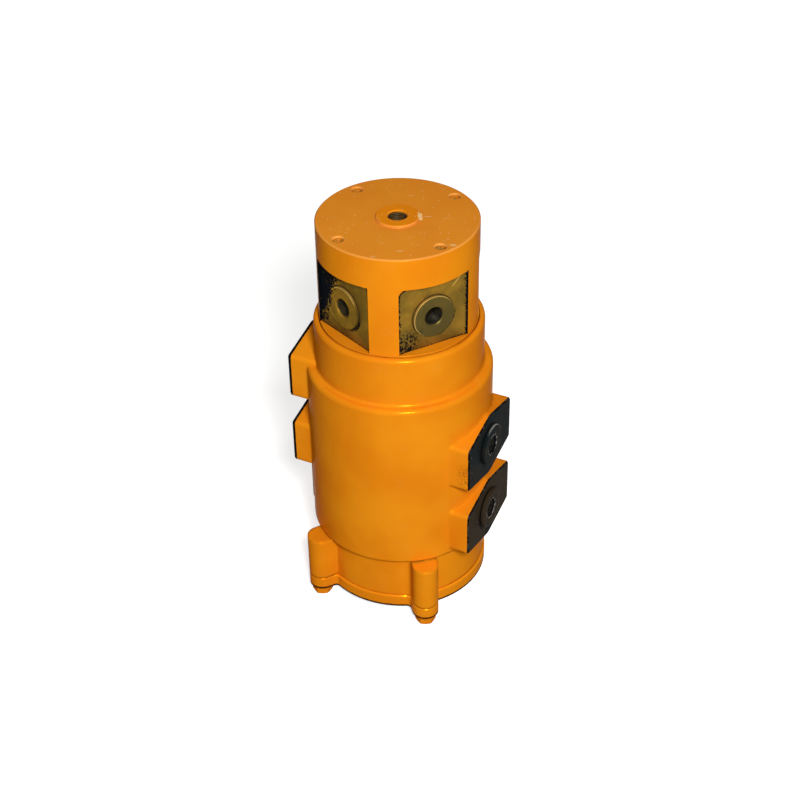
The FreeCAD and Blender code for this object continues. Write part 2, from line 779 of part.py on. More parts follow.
bottom_cover = new_body("bottom_cover")
revolve(bottom_cover, "cover_turning", (
    ("0", "cover_bottom"),
    ("cover_radius - cover_edge_chamfer", "cover_bottom"),
    ("cover_radius", "cover_bottom + cover_edge_chamfer"),
    ("cover_radius", "cover_top - cover_edge_chamfer"),
    ("cover_radius - cover_edge_chamfer", "cover_top"),
    ("cavity_radius - spigot_clearance", "cover_top"),
    ("cavity_radius - spigot_clearance", "cover_top + (spigot_height - cover_ring_thickness) / 2"),
    ("cavity_radius - cover_ring_thickness", "cover_top + (spigot_height - cover_ring_thickness) / 2"),
    ("cavity_radius - cover_ring_thickness", "cover_top + (spigot_height + cover_ring_thickness) / 2"),
    ("cavity_radius - spigot_clearance", "cover_top + (spigot_height + cover_ring_thickness) / 2"),
    ("cavity_radius - spigot_clearance", "cover_top + spigot_height"),
    ("0", "cover_top + spigot_height"),
))
for index, bearing in enumerate(LUG_BEARINGS, 1):
    ear_outline = level_sketch(bottom_cover, f"ear_{index}_outline", bearing, "cover_bottom")
    tongue(ear_outline, "cavity_radius", "lug_circle", "lug_radius")
    pad(bottom_cover, f"ear_{index}", ear_outline, "cover_thickness")
for index, bearing in enumerate(LUG_BEARINGS, 1):
    revolve(bottom_cover, f"ear_{index}_hole", (
        ("0", "cover_bottom"),
        ("bolt_radius + bolt_hole_clearance", "cover_bottom"),
        ("bolt_radius + bolt_hole_clearance", "cover_top"),
        ("0", "cover_top"),
    ), "V_Axis", True, radial_sketch(bottom_cover, f"ear_{index}_hole_profile", bearing, "0", "lug_circle"))

cover_o_ring = new_body("cover_o_ring")
cover_ring_sketch = sketch_on(cover_o_ring, "cover_ring_section", "XZ_Plane")
circle(cover_ring_sketch, "cover_ring_thickness / 2 - seat_clearance",
       "cavity_radius - cover_ring_thickness / 2", "cover_top + spigot_height / 2")
cover_ring_turning = cover_o_ring.newObject("PartDesign::Revolution", "cover_ring_turning")
cover_ring_turning.Profile = cover_ring_sketch
cover_ring_turning.ReferenceAxis = (cover_ring_sketch, ["V_Axis"])
cover_ring_turning.Angle = 360
finish_feature(cover_o_ring, cover_ring_turning)


# Cover bolts with hexagon heads, and split spring washers under them

one_bolt = new_body("one_cover_bolt")
head_sketch = sketch_on(one_bolt, "bolt_head_outline", "XY_Plane")
hexagon(head_sketch, "bolt_flats")
pad(one_bolt, "bolt_head", head_sketch, "bolt_head_height")
revolve(one_bolt, "bolt_head_bevel", (
    ("bolt_flats / 2 - bolt_bevel_inset", "0"),
    ("bolt_flats", "0"),
    ("bolt_flats", "(bolt_flats / 2 + bolt_bevel_inset) * tan(bolt_bevel_angle)"),
), cut=True)
shank_sketch = sketch_on(one_bolt, "bolt_shank_outline", "XY_Plane", out="bolt_head_height")
circle(shank_sketch, "bolt_radius")
pad(one_bolt, "bolt_shank", shank_sketch, "bolt_length")
cover_bolts = copies("cover_bolts", one_bolt, on_circle("lug_circle", LUG_BEARINGS))

one_washer = new_body("one_spring_washer")
revolve(one_washer, "washer_ring", (
    ("bolt_radius + washer_clearance", "bolt_head_height"),
    ("washer_radius", "bolt_head_height"),
    ("washer_radius", "cover_bottom"),
    ("bolt_radius + washer_clearance", "cover_bottom"),
))
split_sketch = sketch_on(one_washer, "washer_split_outline", "XY_Plane", out="cover_bottom")
outline(split_sketch, (
    ("-washer_split / 2", "0"),
    ("washer_split / 2", "0"),
    ("washer_split / 2", "washer_radius + washer_split"),
    ("-washer_split / 2", "washer_radius + washer_split"),
))
pocket(one_washer, "washer_gap", split_sketch, "washer_thickness")
spring_washers = copies("cover_spring_washers", one_washer, on_circle("lug_circle", LUG_BEARINGS))


# Retainer plate under the spindle, its countersunk screws and the plugs of the passages

SCREW_BEARINGS = [f"screw_bearing + {90 * index}" for index in range(4)]
PASSAGE_BEARINGS = [f"flat_bearing + flat_pitch * {index}" for index in range(len(PASSAGE_CHANNELS))]

retainer_plate = new_body("retainer_plate")
revolve(retainer_plate, "plate_turning", (
    ("plate_hole_radius", "plate_bottom"),
    ("plate_radius - plate_chamfer", "plate_bottom"),
    ("plate_radius", "plate_bottom + plate_chamfer"),
    ("plate_radius", "spindle_end - plate_chamfer"),
    ("plate_radius - plate_chamfer", "spindle_end"),
    ("plate_hole_radius", "spindle_end"),
))
countersink = revolve(retainer_plate, "countersink", (
    ("0", "plate_bottom"),
    ("screw_head_radius + screw_hole_clearance", "plate_bottom"),
    ("screw_radius + screw_hole_clearance", "plate_bottom + screw_head_height"),
    ("screw_radius + screw_hole_clearance", "spindle_end"),
    ("0", "spindle_end"),
), "V_Axis", True, radial_sketch(retainer_plate, "countersink_profile", "screw_bearing", "0", "screw_circle"))
polar_pattern(retainer_plate, "countersinks", [countersink], 4)

one_screw = new_body("one_retainer_screw")
revolve(one_screw, "screw_turning", (
    ("0", "plate_bottom"),
    ("screw_head_radius", "plate_bottom"),
    ("screw_radius", "plate_bottom + screw_head_height"),
    ("screw_radius", "plate_bottom + screw_length"),
    ("0", "plate_bottom + screw_length"),
))
screw_socket = sketch_on(one_screw, "screw_socket_outline", "XY_Plane", out="plate_bottom")
hexagon(screw_socket, "screw_socket_flats")
pocket(one_screw, "screw_socket", screw_socket, "screw_socket_depth", towards_normal=True)
retainer_screws = copies("retainer_screws", one_screw, on_circle("screw_circle", SCREW_BEARINGS))

one_plug = new_body("one_passage_plug")
plug_sketch = sketch_on(one_plug, "plug_outline", "XY_Plane", out="spindle_end + plug_sink")
circle(plug_sketch, "plug_radius")
pad(one_plug, "plug_body", plug_sketch, "plug_length")
plug_socket = sketch_on(one_plug, "plug_socket_outline", "XY_Plane", out="spindle_end + plug_sink")
hexagon(plug_socket, "plug_socket_flats")
pocket(one_plug, "plug_socket", plug_socket, "plug_socket_depth", towards_normal=True)
passage_plugs = copies("passage_plugs", one_plug, on_circle("passage_circle", PASSAGE_BEARINGS))


# Thrust rings with oil grooves, the dust seal and the guide bushes

def thrust_ring(name, outer, bottom, top):
    """A bearing ring whose upper face has six radial oil grooves."""
    body = ring_body(name, "running_radius + thrust_side_clearance", outer, bottom, top)
    sketch = radial_sketch(body, name + "_groove_section", "0", top)
    outline(sketch, (
        ("spindle_radius", "-oil_groove_depth"),
        ("cavity_radius + oil_groove_width", "-oil_groove_depth"),
        ("cavity_radius + oil_groove_width", "0"),
        ("spindle_radius", "0"),
    ))
    groove = body.newObject("PartDesign::Pocket", name + "_groove")
    groove.Profile = sketch
    groove.Midplane = True
    groove.setExpression("Length", bound("oil_groove_width"))
    finish_feature(body, groove)
    polar_pattern(body, name + "_grooves", [groove], 6)
    return body


upper_thrust_ring = thrust_ring("upper_thrust_ring", "upper_thrust_radius", "upper_thrust_bottom", "head_bottom")
lower_thrust_ring = thrust_ring("lower_thrust_ring", "cavity_radius - thrust_side_clearance", "spindle_end",
                                "cavity_top")
dust_seal = ring_body("dust_seal", "(dust_groove_radius + seat_clearance)",
                      "(rim_seat_radius - running_clearance)", "(dust_seal - dust_seal_width / 2)",
                      "(dust_seal + dust_seal_width / 2)", "dust_seal_chamfer")
upper_guide_bush = ring_body("upper_guide_bush", "running_radius", "bush_radius", "upper_bush_bottom",
                             "upper_thrust_bottom", "bush_chamfer")
lower_guide_bush = ring_body("lower_guide_bush", "running_radius", "bush_radius", "cavity_top",
                             "lower_bush_top", "bush_chamfer")


# Seals of the bore: a slide ring on the spindle and a rubber energiser ring behind it

seal_pieces = []
for index, level in enumerate(SEALS, 1):
    seal_pieces.append(ring_body(
        f"slide_ring_{index}", "running_radius", "(running_radius + slide_ring_wall)",
        f"{level} - slide_ring_width / 2", f"{level} + slide_ring_width / 2",
    ))
    seal_pieces.append(ring_body(
        f"energiser_ring_{index}", "(running_radius + slide_ring_wall + seat_clearance)",
        "(seal_groove_radius - seat_clearance)",
        f"({level} - slide_ring_width / 2)", f"({level} + slide_ring_width / 2)", "energiser_chamfer",
    ))

NODES = [
    housing, stem, bottom_cover, cover_o_ring, cover_bolts, spring_washers, retainer_plate,
    retainer_screws, passage_plugs, upper_thrust_ring, lower_thrust_ring, dust_seal,
    upper_guide_bush, lower_guide_bush,
] + seal_pieces

doc.recompute()
for item in doc.Objects:
    if "Invalid" in item.State or "Error" in item.State:
        raise ValueError(item.Name + " failed")
for node in NODES:
    if node.Shape.isNull() or not node.Shape.isValid():
        raise ValueError(node.Label + " has no valid shape")

os.makedirs("parts", exist_ok=True)
for node in NODES:
    node.Shape.exportStep(f"parts/{node.Label}.step")
    box = node.Shape.BoundBox
    print(f"{node.Label}: {len(node.Shape.Solids)} solids, {node.Shape.Volume:.0f} mm3, "
          f"z {box.ZMin:.1f} to {box.ZMax:.1f}")
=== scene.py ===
import json
import math

import bmesh
import bpy
from mathutils import Matrix, Vector
from mathutils.geometry import tessellate_polygon


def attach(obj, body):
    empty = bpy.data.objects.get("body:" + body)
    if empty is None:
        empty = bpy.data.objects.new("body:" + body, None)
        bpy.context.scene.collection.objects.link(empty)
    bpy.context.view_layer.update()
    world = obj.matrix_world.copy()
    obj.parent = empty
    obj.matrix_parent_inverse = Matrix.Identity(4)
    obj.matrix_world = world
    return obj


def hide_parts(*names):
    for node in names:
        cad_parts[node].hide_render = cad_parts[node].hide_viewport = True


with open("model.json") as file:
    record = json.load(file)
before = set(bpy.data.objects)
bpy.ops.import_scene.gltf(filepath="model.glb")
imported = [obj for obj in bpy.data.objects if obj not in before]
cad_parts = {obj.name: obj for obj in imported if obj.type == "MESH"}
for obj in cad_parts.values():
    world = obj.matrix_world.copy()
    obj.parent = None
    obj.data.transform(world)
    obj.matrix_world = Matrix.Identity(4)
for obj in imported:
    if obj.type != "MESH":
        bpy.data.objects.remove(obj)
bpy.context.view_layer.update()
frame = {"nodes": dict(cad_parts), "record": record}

# Lengths are in millimetres until they reach an object, apart from those said to be
# in metres. A bearing is an angle in degrees seen from above, 0 at the front and
# positive towards +X. Where a mask has two levels, it is 0 at the first and 1 at the
# second, with a soft edge between them.
MM = 0.001
UP = Vector((0, 0, 1))

# Camera, as fitted to the photograph
TILT = math.radians(36.13)
ROLL = math.radians(-1.01)
DISTANCE = 1682.5
TARGET = Vector((-0.67, 0, 217.96))
FOCAL = 1621.3
IMAGE = 800
SENSOR = 36.0

# How far the camera sees, and how far the floor reaches, in metres
SIGHT = 100
FLOOR_RADIUS = 6.0

# Housing, its port faces and its drain port
FACE_BEARING = 63.5
FACE_DISTANCE = 101.5
FACE_CHAMFER = 1.5
PORT_END = 58.0
RIGHT_MIDDLE = 151.5
LEFT_MIDDLE = 211.0
HALF_PITCH = 42.0
RING_RADIUS = 22.0
RING_HEIGHT = 3.0
MOUTH_RADIUS = 10.6
BORE_RADIUS = 9.3
DRAIN_LEVEL = 78.0
DRAIN_RING_RADIUS = 14.0
DRAIN_RING_HEIGHT = 1.5
DRAIN_BORE_RADIUS = 7.5
BODY_RADIUS = 95.0
STEP = 78.8
FLANGE_RADIUS = 88.0
JOINT_RADIUS = 81.0

# Lower edge of the lower left boss: its level on the port's axis, and its rise to the sides
BOSS_LOW = 131.8
BOSS_SLOPE = 0.228

# Lugs, and the fillets beside the long ones, which fade out at their tops
LUG_BEARINGS = (13.0, 118.0, 193.0, 298.0)
LONG_LUGS = (13.0, 193.0)
LUG_CIRCLE = 100.0
LUG_RADIUS = 13.5
LUG_TOP = 76.7
LUG_BLEND = 6.0
BLEND_STEPS = 12
BLEND_SINK = 1.0
BLEND_WALL_SINK = 4.0

# Cover with its ears
COVER_BOTTOM = 10.0
COVER_TOP = 25.7
COVER_RADIUS = 90.0
COVER_CHAMFER = 1.5
EAR_CIRCLE = 99.4
EAR_RADIUS = 14.0
EAR_BLEND = 5.0
EAR_HOLE_RADIUS = 6.75
SPIGOT_RADIUS = 71.7
SPIGOT_SINK = 1.0
SPIGOT_TOP = 30.7
GROOVE_RADIUS = 69.0
GROOVE_BOTTOM = COVER_TOP + 1
GROOVE_TOP = COVER_TOP + 4

# Bearings at which the outlines have corners, in whole degrees round plate, spigot and
# holes, and measured from each ear's middle at its nose and flanks
PLATE_CORNERS = range(0, 360, 2)
SPIGOT_CORNERS = range(0, 360, 4)
HOLE_CORNERS = range(0, 360, 15)
EAR_SPREAD = 12.0
NOSE_STEPS = [step * 0.5 for step in range(-15, 16)]
FLANK_STEPS = [7.6 + step * 0.11 for step in range(41)]

# Head of the stem and its flats
LEDGE = 328.0
HEAD_TOP = 435.0
HEAD_RADIUS = 80.0
HEAD_PORT = 362.0
FLAT_DISTANCE = 68.5
FLAT_BEARING = -50.0
FLAT_PITCH = 78.0
FLAT_COUNT = 4
FLAT_HALF_WIDTH = 37.9
FLAT_TOP = 402.0
TOP_RING_RADIUS = 21.5
TOP_RING_HEIGHT = 2.5
TOP_HOLE_COUNT = 4
TOP_HOLE_CIRCLE = 68.8
TOP_HOLE_RADIUS = 5.1
TOP_HOLE_MOUTH = 6.4
TOP_HOLE_BEARING = 35.0

# Threads. The depth and half the width of their ridge are shares of the pitch
HALF_INCH_PITCH = 1.814
DRAIN_PITCH = 1.337
M12_PITCH = 1.75
THREAD_TURNS = 8
THREAD_STEPS = 56
LEAD_IN = 1.0
DRAIN_LEAD_IN = 0.8
RIDGE_DEPTH = 0.32
RIDGE_HALF_WIDTH = 0.46
RIDGE_SINK = 0.12

# Floor and light
FLOOR_CORNERS = 96
FLOOR_GLOW = 0.68
WORLD_LIGHT = 0.08


def colour(red, green, blue):
    """A colour written as a screen shows it, 0 to 255, as linear light."""

    def linear(level):
        share = level / 255
        return share / 12.92 if share <= 0.04045 else ((share + 0.055) / 1.055) ** 2.4

    return (linear(red), linear(green), linear(blue), 1.0)


# Colours. Grime, blacking, bare steel, face edge, worn paint, rim gold, flat olive and oil also serve as
# painted shade, painted shadow, painted glints or painted highlights
PAINT = colour(240, 147, 23)
PAINT_DEEP = colour(232, 134, 18)
PAINT_DUSTY = colour(230, 150, 60)
PAINT_WORN_AND_HIGHLIGHT = colour(250, 214, 150)
PAINT_SHINE = colour(205, 120, 40)
GRIME_AND_SHADE = colour(92, 44, 12)
FLAT_GOLD = colour(142, 108, 38)
FLAT_OLIVE_AND_SHADE = colour(108, 86, 34)
RING_GREEN = colour(70, 66, 38)
RIM_GOLD_AND_HIGHLIGHT = colour(196, 160, 84)
OIL_AND_SHADE = colour(40, 36, 24)
BLACKING_AND_SHADE = colour(12, 14, 16)
BLUE_BLACKING_AND_SHADE = colour(10, 14, 24)
FACE_DARK = colour(20, 27, 28)
FACE_BROWN = colour(54, 42, 26)
FACE_EDGE_AND_HIGHLIGHT = colour(92, 92, 84)
DULL_SHINE = colour(120, 122, 124)
BARE_STEEL_AND_GLINT = colour(150, 148, 140)
BRONZE = colour(176, 132, 62)
PTFE = colour(214, 206, 188)
RUBBER = colour(26, 26, 27)
FLOOR = colour(236, 236, 234)
FLOOR_BOUNCE = colour(150, 150, 150)
WHITE = (1.0, 1.0, 1.0, 1.0)

# Paint: the share that mirrors in its own colour, so that its highlights stay orange,
# its roughness, the radius that its edges seem to have, the height of its peel and
# how far dirt and painted shade spread from inner corners
PAINT_GLOSS = 0.085
PAINT_SPECULAR = 0.0008
PAINT_ROUGHNESS = (0.12, 0.32)
PAINT_EDGE = 0.9
PEEL_HEIGHT = 0.035
DIRT_AND_SHADE_SPREAD = 9.0
CORNER_SAMPLES = 6

# Bare port faces and flats: how much they mirror, and the edge radius of the head
FACE_SPECULAR = 0.004
FLAT_SPECULAR = 0.006
FLAT_METALLIC = 0.6
HEAD_EDGE = 0.7

# Dirt, wear and painted shade on the housing. Its edges seem to have the first radius, and the
# second one at the roots of the bosses and at the foot of the wall
HOUSING_EDGE = 1.6
HOUSING_SOFT_EDGE = 5.0
STEP_SHADE = 0.5
JOINT_DIRT = 4.0
SPECKS_OUT = (84.0, 97.0)
SPECKS_ACROSS = (-24.0, -30.0)
SPECKS_LEVEL = RIGHT_MIDDLE + HALF_PITCH - 8
SPECKS_HALF_HEIGHT = 10.0
FACE_WANDER = 1.1
LEFT_WEAR = 2.3
RIB_SPOT = DRAIN_RING_RADIUS + 2.0
DRAIN_MOUTH = DRAIN_BORE_RADIUS + 1.5
BOSS_ROOT = (74.0, 78.0)

# Blacking on the flats of the head, in flakes of this depth along their edges, and
# deeper at both ends of the second flat, whose upper left corner looks rounded. The
# gash is a slanted scratch above its port
FLAKES = 5.5
FLAKES_RIGHT = 11.0
FLAKES_LEFT = 14.0
FLAT_END = 28.0
FLAT_END_SOFT = 4.0
LEFT_SLANT = 0.4
CORNER = 9.0
CORNER_DROP = 2.6
GASH_SLANT = 0.9
GASH_PLACE = -1.5
GASH_LOW = 26.0
GASH_HIGH = 35.0


class Graph:
    """The node tree of one material or world, with a short call for each kind of node."""

    def __init__(self, name, kind="materials"):
        self.owner = getattr(bpy.data, kind).new(name)
        self.owner.use_nodes = True
        self.tree = self.owner.node_tree
        self.tree.nodes.clear()
        self.position = None

    def feed(self, socket, value):
        """Link a socket to another one, or set its value."""
        if isinstance(value, bpy.types.NodeSocket):
            self.tree.links.new(value, socket)
        else:
            socket.default_value = value

    def add(self, kind, inputs=None, **settings):
        """A node of a kind, with its settings and its inputs."""
        node = self.tree.nodes.new("ShaderNode" + kind)
        for key, value in settings.items():
            setattr(node, key, value)
        for key, value in (inputs or {}).items():
            self.feed(node.inputs[key], value)
        return node

    def math(self, operation, *values):
        """The result of one operation on numbers."""
        node = self.add("Math", operation=operation)
        for socket, value in zip(node.inputs, values):
            self.feed(socket, value)
        return node.outputs[0]

    def vector(self, operation, *values):
        """The resulting vector of one operation on vectors."""
        node = self.add("VectorMath", operation=operation)
        for socket, value in zip(node.inputs, values):
            self.feed(socket, value)
        return node.outputs[0]

    def plus(self, one, two):
        return self.math("ADD", one, two)

    def minus(self, one, two):
        return self.math("SUBTRACT", one, two)

    def times(self, one, two):
        return self.math("MULTIPLY", one, two)

    def unsigned(self, value):
        """A number without its sign."""
        return self.math("ABSOLUTE", value)

    def length(self, one, two):
        """The distance of a place that lies this far off in two directions at right angles."""
        squares = self.plus(self.math("POWER", one, 2.0), self.math("POWER", two, 2.0))
        return self.math("SQRT", squares)

    def millimetres(self):
        """The place on the piece at rest, in millimetres."""
        if self.position is None:
            place = self.add("TexCoord").outputs["Object"]
            scaled = self.add("VectorMath", {"Vector": place, "Scale": 1 / MM}, operation="SCALE")
            self.position = scaled.outputs[0]
        return self.position

    def axes(self):
        """The same place as its x, y and z."""
        split = self.add("SeparateXYZ", {"Vector": self.millimetres()})
        return split.outputs[0], split.outputs[1], split.outputs[2]

    def along(self, bearing):
        """Distance outwards along a bearing, and distance to the right of it."""
        x, y, z = self.axes()
        sine = math.sin(math.radians(bearing))
        cosine = math.cos(math.radians(bearing))
        out = self.minus(self.times(x, sine), self.times(y, cosine))
        across = self.plus(self.times(x, cosine), self.times(y, sine))
        return out, across

    def noise(self, size, detail, rough=0.55, shift=0.0, stretch=None):
        """Cloudy noise from 0 to 1 whose lumps are about this many millimetres wide."""
        place = self.millimetres()
        if stretch is not None:
            place = self.vector("MULTIPLY", place, stretch)
        moved = self.vector("ADD", place, (shift, shift * 0.7, -shift))
        node = self.add("TexNoise", {
            "Vector": moved, "Scale": 1 / size, "Detail": detail, "Roughness": rough,
        })
        return node.outputs[0]

    def step(self, value, low, high):
        """0 below low, 1 above high, and smooth between. Falls where low is above high."""
        node = self.add("MapRange", {
            "Value": value, "From Min": low, "From Max": high,
        }, interpolation_type="SMOOTHSTEP")
        return node.outputs[0]

    def near(self, value, place, width, soft):
        """1 where a value is within a width of a place, and 0 past a soft edge."""
        away = self.unsigned(self.minus(value, place))
        return self.step(away, width + soft, width)

    def patches(self, low, high, *lumps, **more):
        """Patches where the noise, given by its size and the rest, is above a level."""
        return self.step(self.noise(*lumps, **more), low, high)

    def dots(self, spacing, low, high, shift):
        """Scattered dots. The levels are the dots' soft edge, in shares of the spacing."""
        moved = self.vector("ADD", self.millimetres(), (shift, -shift, shift * 1.3))
        away = self.add("TexVoronoi", {"Vector": moved, "Scale": 1 / spacing}).outputs["Distance"]
        return self.step(away, low, high)

    def both(self, *masks):
        """1 where all the masks are."""
        product = masks[0]
        for mask in masks[1:]:
            product = self.times(product, mask)
        return product

    def either(self, *masks):
        """The strongest of the masks."""
        most = masks[0]
        for mask in masks[1:]:
            most = self.math("MAXIMUM", most, mask)
        return most

    def inverse(self, mask):
        return self.minus(1.0, mask)

    def mix(self, mask, base, top):
        """A colour that turns from base to top with a mask."""
        node = self.add("Mix", data_type="RGBA")
        self.feed(node.inputs[0], mask)
        self.feed(node.inputs[6], base)
        self.feed(node.inputs[7], top)
        return node.outputs[2]

    def laid(self, base, top, mask, share):
        """A colour with a share of another laid over it where a mask is 1."""
        return self.mix(self.times(mask, share), base, top)

    def blend(self, mask, base, top):
        """A number that turns from base to top with a mask."""
        node = self.add("Mix", data_type="FLOAT")
        self.feed(node.inputs[0], mask)
        self.feed(node.inputs[2], base)
        self.feed(node.inputs[3], top)
        return node.outputs[0]

    def bevel(self, radius):
        """A normal that rounds sharp edges."""
        return self.add("Bevel", {"Radius": radius * MM}, samples=CORNER_SAMPLES).outputs[0]

    def bumped(self, height, rounding, soft_mask=None, softer=0.0):
        """A normal whose sharp edges are rounded and whose surface has a height in millimetres.

        Where a soft mask is given, the edges are rounded more where it is 1.
        """
        rounded = self.bevel(rounding)
        if soft_mask is not None:
            choice = self.add("Mix", data_type="VECTOR")
            self.feed(choice.inputs[0], soft_mask)
            self.feed(choice.inputs[4], rounded)
            self.feed(choice.inputs[5], self.bevel(softer))
            rounded = choice.outputs[1]
        bump = self.add("Bump", {"Height": height, "Distance": MM, "Strength": 1.0, "Normal": rounded})
        return bump.outputs[0]

    def surface(self, base, rough, normal, metallic=0.0, specular=0.5, tint=WHITE):
        """What a surface of this colour, roughness and normal reflects."""
        shader = self.add("BsdfPrincipled", {
            "Base Color": base, "Roughness": rough, "Metallic": metallic, "Normal": normal,
            "Specular IOR Level": specular, "Specular Tint": tint,
        })
        return shader.outputs[0]

    def joined(self, mask, base, top):
        """A surface that turns from one shader to another with a mask."""
        choice = self.add("MixShader")
        self.feed(choice.inputs[0], mask)
        self.feed(choice.inputs[1], base)
        self.feed(choice.inputs[2], top)
        return choice.outputs[0]

    def finish(self, surface, output="OutputMaterial"):
        """The finished material or world."""
        self.add(output, {"Surface": surface})
        return self.owner


def paint(graph, cast):
    """Colour, roughness and height of the orange paint. Cast iron under it adds low waves."""
    base = graph.mix(graph.patches(0.35, 0.68, 70, 2.0, 0.5), PAINT_DEEP, PAINT)
    base = graph.laid(base, PAINT_DUSTY, graph.patches(0.55, 0.8, 17, 4.0, 0.6, shift=31), 0.2)

    # Dirt and painted shade darken inner corners, and specks lie scattered
    hollow = graph.add("AmbientOcclusion", {"Distance": DIRT_AND_SHADE_SPREAD * MM}, samples=CORNER_SAMPLES)
    dirt_and_shade = graph.both(graph.step(hollow.outputs["AO"], 0.62, 0.3),
                      graph.patches(0.34, 0.62, 6, 4.0, 0.65, shift=7))
    base = graph.laid(base, GRIME_AND_SHADE, dirt_and_shade, 0.55)
    specks = graph.both(graph.dots(3.1, 0.12, 0.06, shift=3), graph.patches(0.56, 0.66, 24, 2.0, shift=90))
    base = graph.laid(base, GRIME_AND_SHADE, specks, 0.7)

    rough = graph.blend(graph.noise(11, 3.0, shift=12), *PAINT_ROUGHNESS)
    peel = graph.times(graph.noise(2.3, 2.0, 0.5, shift=50), PEEL_HEIGHT)
    waves = graph.times(graph.noise(19, 2.0, 0.5, shift=5), cast)
    return base, rough, graph.plus(peel, waves)


def painted(graph, base, rough, normal):
    """The paint's surface, with highlights in its own colour."""
    return graph.surface(base, rough, normal, metallic=PAINT_GLOSS, specular=PAINT_SPECULAR,
                         tint=PAINT_SHINE)


def plain_paint(name, cast):
    """Orange paint with nothing worn off."""
    graph = Graph(name)
    base, rough, height = paint(graph, cast)
    return graph.finish(painted(graph, base, rough, graph.bumped(height, PAINT_EDGE)))


class BossPlace:
    """Where a place on the housing lies, seen from the port faces on its side of the axis."""

    def __init__(self, graph):
        self.z = graph.axes()[2]
        out, across = graph.along(FACE_BEARING)
        side = graph.math("SIGN", out)
        self.on_right = graph.step(side, -0.5, 0.5)
        self.on_left = graph.step(side, 0.5, -0.5)
        self.out = graph.unsigned(out)
        self.across = graph.times(side, across)
        self.from_axis = graph.length(self.out, self.across)
        self.depth = graph.minus(self.out, FACE_DISTANCE)
        middle = graph.blend(self.on_right, LEFT_MIDDLE, RIGHT_MIDDLE)
        self.from_middle = graph.minus(self.z, middle)
        self.rise = graph.minus(graph.unsigned(self.from_middle), HALF_PITCH)
        self.radius = graph.length(self.rise, self.across)
        self.from_drain = graph.length(graph.minus(self.z, DRAIN_LEVEL), self.across)
        self.on_face = graph.near(self.depth, 0.0, 0.3, 0.4)
        self.on_ring = graph.step(self.depth, 1.0, 2.0)


def housing_dirt_and_shade(graph, spot, base):
    """The paint's colour with painted shade under the step, and dirt below the head and on the upper right
    boss.
    """
    # Painted shade: a dark band just under the step
    step_shadow = graph.both(graph.near(spot.z, STEP - STEP_SHADE, STEP_SHADE, 0.5),
                            graph.step(spot.from_axis, BODY_RADIUS - 3, BODY_RADIUS - 5))
    below_head = graph.both(graph.step(spot.z, LEDGE - JOINT_DIRT, LEDGE - JOINT_DIRT + 1),
                            graph.step(spot.from_axis, JOINT_RADIUS, JOINT_RADIUS - 0.4))
    base = graph.laid(base, GRIME_AND_SHADE, graph.either(step_shadow, below_head), 0.85)
    specks = graph.both(spot.on_right, graph.step(spot.out, *SPECKS_OUT),
                        graph.step(spot.across, *SPECKS_ACROSS),
                        graph.near(spot.z, SPECKS_LEVEL, SPECKS_HALF_HEIGHT, 8.0),
                        graph.patches(0.5, 0.58, 1.6, 4.0, 0.7, shift=51))
    return graph.laid(base, GRIME_AND_SHADE, specks, 0.75)


def unpainted(graph, spot):
    """Two masks: the port faces, whose border is ragged, with the ports, and the ports alone."""
    ragged = graph.times(graph.minus(graph.noise(2.6, 3.0, 0.6, shift=17), 0.5), FACE_WANDER)
    worn_back = graph.blend(spot.on_right, LEFT_WEAR, 0.0)
    rim = graph.plus(graph.plus(spot.depth, ragged), worn_back)
    face = graph.step(rim, -FACE_CHAMFER - 0.1, -FACE_CHAMFER + 0.1)

    # The rib of the drain port is painted, but for a round spot at the port
    below_boss = graph.minus(spot.z, graph.times(graph.unsigned(spot.across), BOSS_SLOPE))
    on_rib = graph.both(spot.on_left, graph.step(below_boss, BOSS_LOW, BOSS_LOW - 0.5),
                        graph.step(spot.from_drain, RIB_SPOT - 0.4, RIB_SPOT))
    face = graph.both(face, graph.inverse(on_rib))

    in_port = graph.both(graph.step(spot.radius, MOUTH_RADIUS + 0.1, MOUTH_RADIUS),
                         graph.step(spot.out, PORT_END, PORT_END + 2))
    in_drain = graph.both(graph.step(spot.from_drain, DRAIN_MOUTH, DRAIN_MOUTH - 0.1),
                          graph.step(spot.out, PORT_END, PORT_END + 2))
    inside = graph.either(in_port, in_drain)
    return graph.either(face, inside), inside


